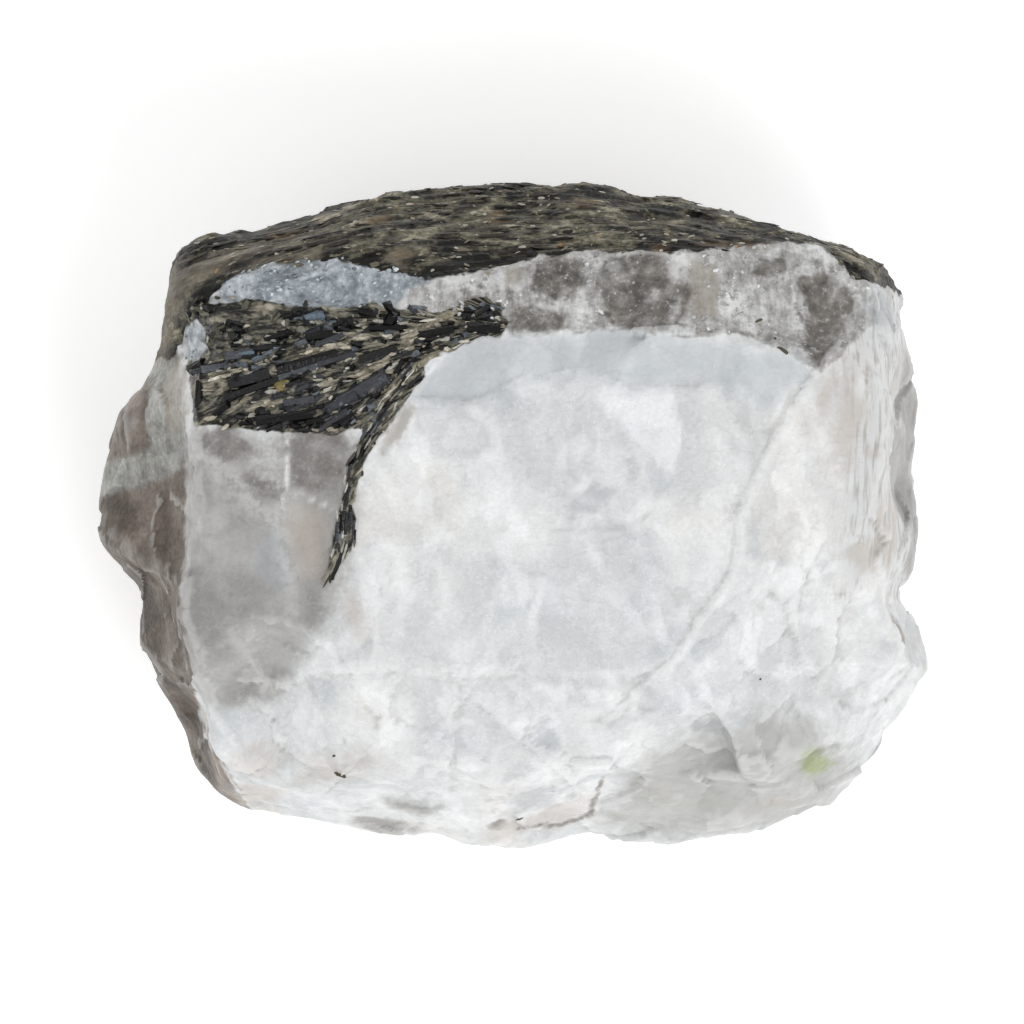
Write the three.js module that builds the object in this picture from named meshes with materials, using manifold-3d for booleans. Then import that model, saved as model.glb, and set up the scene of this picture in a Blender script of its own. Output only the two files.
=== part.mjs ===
// A rough moonstone: a blocky splinter of white feldspar, broken on all sides, with a crust of dark mica
// schist along its far side (+Y) and a spray of black schorl blades in the corner of its upper face.
//
// Units are millimetres, +Z is up and the stone lies on a small flat spot at Z = 0. The origin is under the
// middle of its bounding box. Seen from above, the girdle is the outline; the crown is the broad upper
// face with the rims around it; below the girdle the sides drop and then draw in to the flat spot.
//
// The stone is made in four steps: a skeleton of flat fracture faces, a fine skin over it that keeps the
// skeleton's edges, relief on the skin, and crystals, leaves and chips that are fused to it or cut from it.

import * as THREE from "three";
import { ConvexHull } from "three/addons/math/ConvexHull.js";
import { ImprovedNoise } from "three/addons/math/ImprovedNoise.js";
import { TessellateModifier } from "three/addons/modifiers/TessellateModifier.js";
import { mergeVertices } from "three/addons/utils/BufferGeometryUtils.js";
import Module from "manifold-3d";

const wasm = await Module();
wasm.setup();

const { degToRad, lerp, seededRandom, smoothstep } = THREE.MathUtils;

// ---------------------------------------------------------------- driving dimensions

const HEART = new THREE.Vector3(0, 0, 12.5); // all of the stone can be seen from this inner point

// The corners of the fracture faces are [x, y, z] in groups, each group in order around the stone.
// The girdle is the outline seen from above, with the height at which the stone is widest there.
const GIRDLE = [
  // right side, with its notch and shoulder
  [21.5, 1.6, 14.5], [21.3, 6.8, 13.0], [20.6, 10.2, 15.0], [20.3, 12.8, 13.0],
  // far side
  [17.4, 14.6, 14.0], [11.8, 16.4, 13.0], [7.4, 17.4, 11.5], [2.6, 18.0, 13.5], [-6.4, 17.3, 14.0],
  [-10.6, 16.1, 12.5], [-16.4, 14.9, 13.6],
  // left side, with its lobe
  [-18.4, 13.2, 13.0], [-19.4, 8.6, 14.0], [-21.8, 4.4, 13.4], [-22.3, 2.2, 12.5], [-21.9, -1.4, 13.2],
  [-19.6, -3.6, 13.0], [-19.6, -7.2, 12.6], [-18.6, -10.6, 11.0],
  // near side
  [-16.8, -15.2, 12.0], [-11.0, -16.4, 10.5], [-4.6, -16.9, 12.0], [-1.2, -18.0, 11.0], [4.6, -17.2, 12.5],
  [12.0, -17.0, 10.5], [17.4, -15.6, 12.0], [20.6, -11.2, 11.0], [22.3, -8.0, 12.6], [21.0, -4.4, 12.4],
];

// The broad upper face of clean feldspar: its far edge, the fold down its right half, its middle.
const UPPER_FACE = [
  [-0.5, 9.6, 24.6], [4.6, 9.8, 24.8], [10.2, 9.4, 24.4], [14.9, 8.2, 23.2],
  [13.0, 4.3, 24.8], [11.2, -0.6, 25.8], [10.2, -4.5, 26.2], [7.6, -8.4, 25.6],
  [2.0, 2.5, 25.4], [-3.6, 6.0, 25.0], [-8.4, 0.6, 24.8], [-3.0, -5.8, 25.4], [-11.2, -6.4, 23.6],
  [-9.0, 4.6, 24.2],
];

// The rims, where the upper face breaks off to the sides.
const RIMS = [
  [18.6, 9.6, 21.0], [18.9, 4.0, 22.0], [18.4, -1.0, 22.4], [18.6, -4.6, 20.6],
  [19.6, -7.6, 19.6], [17.0, -11.0, 20.4], [12.6, -13.8, 20.8], [8.6, -12.4, 23.4], [4.8, -13.8, 22.0],
  [0.2, -15.0, 20.8], [-3.2, -9.4, 24.6], [-6.4, -14.4, 21.2], [-11.0, -13.8, 20.6],
  [-15.4, -12.2, 18.8], [-17.2, -8.8, 20.4], [-17.4, -4.0, 21.6], [-17.2, 1.0, 22.4], [-17.0, 5.0, 22.2],
];

// The brow of smoky quartz beyond the upper face, up to the inner edge of the schist crust.
const BROW = [
  [0.0, 10.2, 23.8], [5.0, 10.4, 23.9], [10.5, 10.0, 23.6], [15.3, 8.9, 22.3], // foot of the face's ledge
  [-17.5, 12.0, 19.2], [-13.0, 13.8, 20.6], [-6.0, 13.4, 22.4], [0.8, 13.2, 22.8], [8.0, 14.2, 21.6],
  [14.0, 14.2, 20.4], [18.2, 13.0, 18.4], [-15.6, 9.0, 21.4], [-7.4, 9.8, 23.4],
];

// Below the girdle: the steep sides, then the underside, then the flat spot that the stone lies on.
const LOWER_SIDES = [
  [21.0, 3.0, 7.4], [19.9, 11.0, 5.4], [17.4, 14.0, 7.6], [8.6, 16.6, 5.2], [-1.8, 17.0, 7.0],
  [-10.6, 15.6, 4.6], [-17.2, 13.2, 7.6], [-20.2, 3.6, 6.4], [-19.0, -5.4, 5.0], [-16.8, -12.4, 5.6],
  [-8.0, -15.8, 4.4], [3.2, -16.4, 6.4], [12.0, -16.2, 4.2], [18.6, -12.4, 6.4], [20.2, -4.0, 5.2],
];
const UNDERSIDE = [
  [18.4, 1.2, 1.8], [15.6, 11.4, 2.8], [3.6, 14.2, 1.0], [-8.4, 13.6, 1.6], [-15.8, 8.8, 3.0],
  [-17.2, -1.8, 1.4], [-13.6, -11.4, 1.8], [-2.2, -13.6, 2.8], [8.8, -13.8, 1.2], [16.0, -8.2, 2.6],
];
const FLAT_SPOT = [
  [11.4, 3.4, 0], [5.8, 9.4, 0], [-3.8, 10.0, 0], [-11.6, 4.6, 0], [-11.8, -3.6, 0], [-6.0, -9.4, 0],
  [4.6, -9.2, 0], [11.6, -4.0, 0],
];

// The skin and its relief.
const SKIN = { edge: 2.35, rounds: 14 }; // longest edge of its triangles, and how often they may be halved
const WANDER = { size: 8, height: 0.6 }; // a slow drift that bends the edges
const CHIPS = { size: 5.5, tilt: 0.08, level: 0.2 }; // flat chips, each tilted and lifted a little
const CALM_CROWN = { from: 19, to: 23, share: 0.3 }; // the chips are lower on the crown's clean cleavage
const SPOT_FADE = 2.5; // the relief dies away over this height above the flat spot
const SPOT_HEIGHT = 0.01; // what is lower than this belongs to the flat spot

// Small flats worn on the edges: how many, how far each reaches, how deep it is and how much it is tilted,
// and how alike a normal must be to the flat's own (as their dot product) to be worn not at all or fully.
const SCRAPES = { count: 110, reach: 5, depth: 0.28, jitter: 0.08, likeness: [0.4, 0.8], seed: 5 };

// The schist crust: hard leaves that stand proud of the rest, bowed along the far side.
const LEAVES = {
  count: 4,
  first: 14.3, // where the innermost leaf crests, along Y
  last: 17.4,
  crest: 2.5, // where they crest, along X
  bow: 55, // radius of their bow, seen from above
  ends: [-18.4, 20.2], // where they thin out, along X
  steps: 8, // straight stretches of a leaf's outline
  span: [3, 26], // their height before they are cut to the stone
  thickness: 0.6,
  proud: 1.022, // they are cut from the bare skeleton grown by this factor
  slip: 0.3, // and shifted at random by up to this much
  seed: 21,
};

// The schorl spray: a shallow pit shaped like a fan, and blades in it that spread from its tip.
const SPRAY = {
  tip: [-0.2, 9.9], // seen from above, as are the two corners that give the fan's slope and spread
  nearCorner: [-14.6, 5.8],
  farCorner: [-14.2, 11.4],
  reach: 17, // length of the fan, from its tip to the left rim
  floor: 0.1, // of the pit, over the plane of the three points, which lies inside the bulging crown
  headroom: 4, // height of what is cut away above the floor
  margin: 0.5, // the pit is this much longer than the blades at either end
  steps: 6, // straight stretches of its outer end
};
const BLADES = {
  count: 15,
  sides: 6,
  radius: 0.55, // at the outer end
  vary: 0.25, // a blade is thicker or thinner by up to this share
  taper: 0.45, // the inner end's radius over the outer end's
  spread: 0.92, // share of the fan's angle that they fill
  start: [0.4, 4.9], // nearest and farthest start from the tip
  shortfall: 3.5, // most that a blade ends short of the reach
  uneven: 0.15, // most that one lies above or below the floor
  seed: 7,
};

// The tail of the spray: thin blades end to end across the clean face, seen from above.
const TAIL = [[-3.6, 9.2], [-6.8, 5.7], [-8.4, 2.7], [-9.5, -3.2]];
const TAIL_RADIUS = 0.42;
const TAIL_SINK = 0.2; // how far the middle of a blade of the tail lies below the crown

// Rounded grains set in the crown: place seen from above, half size, turn in degrees.
const GRAINS = [
  { at: [-11.6, 12.2], half: [4.6, 1.3, 1.0], turn: 2 }, // blue quartz lens
  { at: [5.2, 11.8], half: [2.4, 1.7, 0.8], turn: -8 }, // smoky quartz
  { at: [17.4, 10.4], half: [1.8, 2.5, 0.8], turn: 20 }, // smoky quartz at the right rim
  { at: [-9.6, -3.0], half: [0.5, 1.1, 0.7], turn: -10 }, // knot of schorl at the end of the tail
  { at: [-9.1, -13.6], half: [0.7, 0.35, 0.5], turn: 15 }, // mica flake on the near rim
];
const GRAIN_SINK = 0.65; // a grain's middle lies below the crown by this share of its half height

// Chips broken out of the near rim, as blocks: the middle of the block's lower edge that lies deepest in
// the stone, how the block is turned and tipped in degrees, and its size.
const RIM_CHIPS = [
  { edge: [4.6, -15.6, 17.6], turn: 24, tip: 30, size: [15, 6, 8] },
  { edge: [-9.6, -16.0, 15.0], turn: -14, tip: 24, size: [6, 5, 7] },
];

const WELD = 1e-3; // points of the skin closer than this are one
const WELD_FINE = 1e-4; // and points of the shapes that are joined to it
const FAR_ABOVE = 60; // a height over all of the stone

// ---------------------------------------------------------------- chance and noise

const noise = new ImprovedNoise();

/** A random vector, each part of it -1 to 1. */
function randomVector() {
  return new THREE.Vector3(seededRandom(), seededRandom(), seededRandom()).multiplyScalar(2).subScalar(1);
}

/** A smooth random vector, each part about -1 to 1, that changes over a length of `size`. */
function wander(p, size) {
  const [x, y, z] = p.clone().divideScalar(size).toArray();
  return new THREE.Vector3(noise.noise(x, y, z), noise.noise(y + 9, z, x), noise.noise(z, x + 5, y));
}

/** The whole numbered cells of space around a cell, with the cell itself. */
function neighbours(home) {
  const steps = [-1, 0, 1];
  return steps.flatMap((x) => steps.flatMap((y) => steps.map((z) => new THREE.Vector3(x, y, z).add(home))));
}

/** Height of a field of flat tilted chips: space is cut in cells, and each cell holds one chip. */
function chips(p, { size, tilt, level }) {
  const cellsAcross = 100;
  let nearest = Infinity;
  let height = 0;
  for (const cell of neighbours(p.clone().divideScalar(size).floor())) {
    const [row, column, layer] = cell.clone().addScalar(cellsAcross / 2).toArray();
    seededRandom(1 + (row * cellsAcross + column) * cellsAcross + layer);
    const centre = randomVector().addScalar(1).divideScalar(2).add(cell).multiplyScalar(size);
    const slope = randomVector().multiplyScalar(tilt);
    const lift = level * lerp(-1, 1, seededRandom());
    const away = p.clone().sub(centre);
    if (away.length() < nearest) {
      nearest = away.length();
      height = lift + slope.dot(away);
    }
  }
  return height;
}

// ---------------------------------------------------------------- skeleton and skin

/** The hull of the corners' directions from the heart: each of its triangles is one fracture face. */
function skeleton() {
  const corners = [GIRDLE, UPPER_FACE, RIMS, BROW, LOWER_SIDES, UNDERSIDE, FLAT_SPOT]
    .flat()
    .map((xyz) => new THREE.Vector3(...xyz));
  const directions = corners.map((corner) => corner.clone().sub(HEART).normalize());
  const cornerOf = new Map(directions.map((direction, i) => [direction, corners[i]]));
  const hull = new ConvexHull().setFromPoints(directions);
  const points = hull.faces.flatMap((face) => {
    const edges = [face.edge, face.edge.next, face.edge.next.next];
    return edges.map((edge) => cornerOf.get(edge.head().point));
  });
  return new THREE.BufferGeometry().setFromPoints(points);
}

/** Calls `move` with the place and the normal of each point, and keeps the place as `move` leaves it. */
function moveEach(geometry, move) {
  const position = geometry.getAttribute("position");
  const normal = geometry.getAttribute("normal");
  const p = new THREE.Vector3();
  const n = new THREE.Vector3();
  for (let i = 0; i < position.count; i++) {
    move(p.fromBufferAttribute(position, i), n.fromBufferAttribute(normal, i));
    position.setXYZ(i, p.x, p.y, p.z);
  }
}

/** Bends the edges and breaks the faces into chips, more gently on the crown and not on the flat spot. */
function roughen(geometry) {
  geometry.computeVertexNormals();
  moveEach(geometry, (p, n) => {
    const free = smoothstep(p.z, 0, SPOT_FADE);
    const rough = lerp(1, CALM_CROWN.share, smoothstep(p.z, CALM_CROWN.from, CALM_CROWN.to));
    const height = chips(p, CHIPS) * rough * free;
    p.addScaledVector(wander(p, WANDER.size), WANDER.height * free).addScaledVector(n, height);
  });
}

/** Wears small flats: around a random point, what stands above a plane is pressed down to it. */
function scrape(geometry) {
  geometry.computeVertexNormals();
  const position = geometry.getAttribute("position");
  const normal = geometry.getAttribute("normal");
  seededRandom(SCRAPES.seed);
  for (let i = 0; i < SCRAPES.count; i++) {
    const chosen = Math.floor(seededRandom() * position.count);
    const seat = new THREE.Vector3().fromBufferAttribute(position, chosen);
    const up = new THREE.Vector3().fromBufferAttribute(normal, chosen);
    up.addScaledVector(randomVector(), SCRAPES.jitter).normalize();
    const surface = new THREE.Plane().setFromNormalAndCoplanarPoint(up, seat);
    moveEach(geometry, (p, n) => {
      const above = surface.distanceToPoint(p) + SCRAPES.depth;
      if (above > 0 && p.z > SPOT_HEIGHT) {
        const near = 1 - smoothstep(p.distanceTo(seat), SCRAPES.reach / 2, SCRAPES.reach);
        const alike = smoothstep(n.dot(up), ...SCRAPES.likeness);
        p.addScaledVector(up, -above * near * alike);
      }
    });
  }
}

/** The skin: the skeleton in small triangles that keep its edges, roughened and scraped. */
function skin() {
  const fine = new TessellateModifier(SKIN.edge, SKIN.rounds).modify(skeleton());
  const geometry = mergeVertices(fine, WELD);
  roughen(geometry);
  scrape(geometry);
  return geometry;
}

const skinGeometry = skin();
const skinMesh = new THREE.Mesh(skinGeometry);

/** The point of the crown at (x, y). */
function crownAt([x, y]) {
  const down = new THREE.Raycaster(new THREE.Vector3(x, y, FAR_ABOVE), new THREE.Vector3(0, 0, -1));
  return down.intersectObject(skinMesh)[0].point;
}

// ---------------------------------------------------------------- joining and cutting

/** A closed geometry as a solid that can be joined and cut. */
function solid(geometry) {
  const bare = geometry.clone();
  bare.deleteAttribute("normal");
  bare.deleteAttribute("uv");
  const merged = mergeVertices(bare, WELD_FINE);
  return new wasm.Manifold(new wasm.Mesh({
    numProp: 3,
    vertProperties: Float32Array.from(merged.getAttribute("position").array),
    triVerts: Uint32Array.from(merged.index.array),
  }));
}

/** A solid as a geometry again. */
function geometryOf(manifold) {
  const mesh = manifold.getMesh();
  const geometry = new THREE.BufferGeometry();
  geometry.setAttribute("position", new THREE.BufferAttribute(mesh.vertProperties, 3));
  geometry.setIndex(new THREE.BufferAttribute(mesh.triVerts, 1));
  return geometry;
}

// ---------------------------------------------------------------- the schorl spray and its tail

const [sprayTip, nearCorner, farCorner] = [SPRAY.tip, SPRAY.nearCorner, SPRAY.farCorner].map(crownAt);
const nearEdge = nearCorner.clone().sub(sprayTip).normalize();
const farEdge = farCorner.clone().sub(sprayTip).normalize();
const halfAngle = nearEdge.angleTo(farEdge) / 2;

/** The frame of the fan: its origin at the tip, X along its middle, Z out of the crown. */
function sprayFrame() {
  const along = nearEdge.clone().add(farEdge).normalize();
  const up = farEdge.clone().cross(nearEdge).normalize();
  const across = up.clone().cross(along);
  return new THREE.Matrix4().makeBasis(along, across, up).setPosition(sprayTip);
}

/** A point of the fan by its distance from the tip, its angle and its height over the fan's plane. */
function sprayPoint(distance, angle, height) {
  const p = new THREE.Vector3(distance * Math.cos(angle), distance * Math.sin(angle), height);
  return p.applyMatrix4(sprayFrame());
}

/** The fan-shaped block that is cut away above the floor of the pit. */
function pit() {
  const reach = SPRAY.reach + SPRAY.margin;
  const outline = new THREE.Shape();
  outline.moveTo(-SPRAY.margin, 0);
  outline.lineTo(reach * Math.cos(halfAngle), -reach * Math.sin(halfAngle));
  outline.absarc(0, 0, reach, -halfAngle, halfAngle);
  outline.closePath();
  const options = { depth: SPRAY.headroom, bevelEnabled: false, curveSegments: SPRAY.steps };
  const block = new THREE.ExtrudeGeometry(outline, options);
  return block.translate(0, 0, SPRAY.floor).applyMatrix4(sprayFrame());
}

/** A blade between two points, with its radius at each. */
function blade(inner, outer, innerRadius, outerRadius) {
  const along = outer.clone().sub(inner);
  const geometry = new THREE.CylinderGeometry(outerRadius, innerRadius, along.length(), BLADES.sides);
  const turn = new THREE.Quaternion().setFromUnitVectors(new THREE.Vector3(0, 1, 0), along.normalize());
  const middle = inner.clone().lerp(outer, 0.5);
  return geometry.applyQuaternion(turn).translate(middle.x, middle.y, middle.z);
}

/** The blades of the spray, side by side across the fan, every second one starting at its tip. */
function blades() {
  seededRandom(BLADES.seed);
  const [nearest, farthest] = BLADES.start;
  return Array.from({ length: BLADES.count }, (_, i) => {
    const across = lerp(-BLADES.spread, BLADES.spread, i / (BLADES.count - 1));
    const angle = across * halfAngle;
    const start = lerp(nearest, farthest, seededRandom() * (i % 2));
    const end = SPRAY.reach - BLADES.shortfall * seededRandom();
    const height = SPRAY.floor + BLADES.uneven * lerp(-1, 1, seededRandom());
    const radius = BLADES.radius * (1 + BLADES.vary * lerp(-1, 1, seededRandom()));
    const [inner, outer] = [start, end].map((distance) => sprayPoint(distance, angle, height));
    return blade(inner, outer, radius * BLADES.taper, radius);
  });
}

/** The tail: one blade for each leg of it, as wide at both ends. */
function tail() {
  const sink = new THREE.Vector3(0, 0, -TAIL_SINK);
  const points = TAIL.map((place) => crownAt(place).add(sink));
  return points.slice(1).map((point, i) => blade(points[i], point, TAIL_RADIUS, TAIL_RADIUS));
}

// ---------------------------------------------------------------- crust, grains and chips

/** A bowed leaf that crests at `y`, thickest in its middle and thinning out to its ends. */
function leaf(y) {
  const [left, right] = LEAVES.ends;
  const [bottom, top] = LEAVES.span;
  const stations = Array.from({ length: LEAVES.steps + 1 }, (_, i) => i / LEAVES.steps);
  const side = (thickness) => stations.map((t) => {
    const x = lerp(left, right, t);
    const bowed = y - (x - LEAVES.crest) ** 2 / (2 * LEAVES.bow);
    return new THREE.Vector2(x, bowed + thickness * 4 * t * (1 - t));
  });
  const outline = new THREE.Shape([...side(0), ...side(LEAVES.thickness).slice(1, -1).reverse()]);
  const sheet = new THREE.ExtrudeGeometry(outline, { depth: top - bottom, bevelEnabled: false });
  return sheet.translate(0, 0, bottom);
}

/** The crust's leaves, each cut from a slightly grown and shifted copy of the skeleton. */
function leaves() {
  seededRandom(LEAVES.seed);
  return Array.from({ length: LEAVES.count }, (_, i) => {
    const y = lerp(LEAVES.first, LEAVES.last, i / (LEAVES.count - 1));
    const slip = randomVector().multiplyScalar(LEAVES.slip);
    const grown = skeleton().translate(-HEART.x, -HEART.y, -HEART.z);
    grown.scale(LEAVES.proud, 1, LEAVES.proud).translate(HEART.x + slip.x, HEART.y, HEART.z + slip.z);
    return solid(leaf(y)).intersect(solid(grown));
  });
}

/** A rounded grain, the most of it sunk in the crown. */
function grain({ at, half, turn }) {
  const seat = crownAt(at);
  const [, , halfHeight] = half;
  const geometry = new THREE.IcosahedronGeometry(1, 1).scale(...half).rotateZ(degToRad(turn));
  return geometry.translate(seat.x, seat.y, seat.z - GRAIN_SINK * halfHeight);
}

/** A block whose floor and back leave the two broken faces of a chip. */
function rimChip({ edge, turn, tip, size }) {
  const [, deep, high] = size;
  const block = new THREE.BoxGeometry(...size).translate(0, -deep / 2, high / 2);
  return block.rotateX(degToRad(-tip)).rotateZ(degToRad(turn)).translate(...edge);
}

// ---------------------------------------------------------------- the stone

/** The whole stone as one geometry, with its origin under the middle of its bounding box. */
function stoneGeometry() {
  let body = solid(skinGeometry);
  for (const crustLeaf of leaves()) {
    body = body.add(crustLeaf);
  }
  for (const cut of [pit(), ...RIM_CHIPS.map(rimChip)]) {
    body = body.subtract(solid(cut));
  }
  for (const crystal of [...blades(), ...tail(), ...GRAINS.map(grain)]) {
    body = body.add(solid(crystal));
  }
  // The joins can seal tiny pockets between the parts, or cut off crumbs: only the outer shell is kept.
  const shells = body.decompose().sort((a, b) => b.volume() - a.volume());
  const geometry = geometryOf(shells[0]);
  geometry.computeBoundingBox();
  const middle = geometry.boundingBox.getCenter(new THREE.Vector3());
  return geometry.translate(-middle.x, -middle.y, -geometry.boundingBox.min.z);
}

const feldspar = new THREE.MeshStandardMaterial({ color: 0xe1e3e4, roughness: 0.45, metalness: 0 });
const stone = new THREE.Mesh(stoneGeometry(), feldspar);
stone.name = "moonstone";

const group = new THREE.Group();
group.add(stone);
export default group;
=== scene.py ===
"""A rough moonstone, broken on all sides.

The stone is white feldspar with a crust of dark mica schist along its far side, a wedge of black schorl that
runs out in a thin tail, a lens of blue quartz and a brow of smoky quartz. Sizes in the classes are
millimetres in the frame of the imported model: +Z up, +Y towards the crust, the origin under the middle of
the stone. Meshes are in metres, and materials read places in metres and turn them to millimetres.
"""

import logging
import math
from dataclasses import dataclass, field
from enum import Enum, IntEnum
from functools import cached_property
from typing import Dict, Iterator, Sequence, Tuple, Union

import bmesh
import bpy
import numpy as np
from mathutils import Matrix, Vector, noise
from mathutils.bvhtree import BVHTree


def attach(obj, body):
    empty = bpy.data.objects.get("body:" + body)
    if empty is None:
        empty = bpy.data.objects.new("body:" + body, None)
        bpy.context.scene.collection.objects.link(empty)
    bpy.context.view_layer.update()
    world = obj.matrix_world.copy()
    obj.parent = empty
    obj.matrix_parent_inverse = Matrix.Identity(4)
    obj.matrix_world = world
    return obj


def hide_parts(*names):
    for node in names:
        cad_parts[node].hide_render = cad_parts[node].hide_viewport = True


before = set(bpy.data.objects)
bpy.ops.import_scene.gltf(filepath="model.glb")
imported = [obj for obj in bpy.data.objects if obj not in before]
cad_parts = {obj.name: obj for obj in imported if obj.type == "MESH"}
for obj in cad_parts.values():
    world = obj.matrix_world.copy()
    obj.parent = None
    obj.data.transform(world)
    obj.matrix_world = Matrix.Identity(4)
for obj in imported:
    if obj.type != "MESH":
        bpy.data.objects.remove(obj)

LOG = logging.getLogger("moonstone")
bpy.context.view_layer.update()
MM = 0.001
BODY = "root"

# In millimetres: the facets of the fine relief, the dents of the crystals, and the level above which the
# drawn outlines hold. Below it the minerals of the sides are strewn.
FACET = 0.75
DENT = 0.5
CROWN = 17.0

Corners = Tuple[Tuple[float, float], ...]
Place = Tuple[float, float, float]
Colour = Tuple[int, int, int]
Stops = Tuple[Tuple[float, Colour], ...]
Socket = bpy.types.NodeSocket
Value = Union[int, float, Sequence[float], Socket]


class Zone(str, Enum):
    """The minerals, the stains and the patches of painted shade. Each value names the attribute that holds
    how far a place lies inside it.
    """

    CRUST = "crust"
    SPRAY = "spray"
    BLADES = "blades"
    LATHS = "laths"
    MUDDLE = "muddle"
    TAIL = "tail"
    VEIN = "vein"
    LENS = "lens"
    BROW = "brow"
    SUGAR = "sugar"
    QUARTZ = "quartz"
    HAZE = "haze"
    SMOKE = "smoke"
    FLANK = "flank"
    STRIPE = "stripe"
    FIBRES = "fibres"
    BLUE = "blue"
    GREY_SHADE = "grey"
    ROSE = "rose"
    TAN = "tan"
    MOSS = "moss"
    SHADE_PATCH = "smudge"
    DIRT_AND_SHADOW = "dirt"
    BUFF = "buff"
    RUST = "rust"


class Trace(str, Enum):
    """Other attributes of the stone's skin."""

    GRAIN = "grain"
    ALONG = "along"
    PALE = "pale"
    PLATES = "plates"
    EDGE = "edge"
    TONE = "tone"
    BROAD = "broad"
    CLOUD = "cloud"
    WISPS = "wisps"
    BITE = "bite"
    GLOW = "glow"


class Crystal(Enum):
    """The shapes of the small crystals that are strewn over a mineral."""

    BLADE = "blade"
    GRAIN = "grain"


class Roll(IntEnum):
    """The seeds of the noises, by what each does. One that pushes places takes the next two seeds too."""

    WARP = 3
    PLATE_WARP = 7
    BOWLS = 11
    FACES = 13
    CHIPS = 17
    DUST = 19
    FIBRES = 23
    WOBBLE = 29
    DRIFT = 31
    PATCHES = 37
    RIDGES = 41
    RAYS = 43
    CRUMBS = 47
    PUSHES = 51
    BROAD = 55
    CLOUD = 56
    WISPS = 57
    OUTLINES = 61
    WIDE_PLATES = 71
    SMALL_PLATES = 73
    TURNS = 81


Depths = Dict[Zone, np.ndarray]


def smoothstep(value: np.ndarray, low: float, high: float) -> np.ndarray:
    """A soft step from 0 at low to 1 at high.

    Args:
        value: The numbers to step.
        low: Where the step starts.
        high: Where it ends.

    Returns:
        Numbers from 0 to 1.
    """
    share = np.clip((value - low) / (high - low), 0.0, 1.0)
    return share * share * (3.0 - 2.0 * share)


def linear(colour: Colour) -> Tuple[float, float, float, float]:
    """Turns a screen colour of 0 to 255 into the linear colour that the shaders take.

    Args:
        colour: Red, green and blue.

    Returns:
        Linear red, green and blue, with alpha 1.
    """
    parts = [part / 255.0 for part in colour]
    made = [part / 12.92 if part <= 0.04045 else ((part + 0.055) / 1.055) ** 2.4 for part in parts]
    return (made[0], made[1], made[2], 1.0)


# ---------------------------------------------------------------- noise


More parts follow.
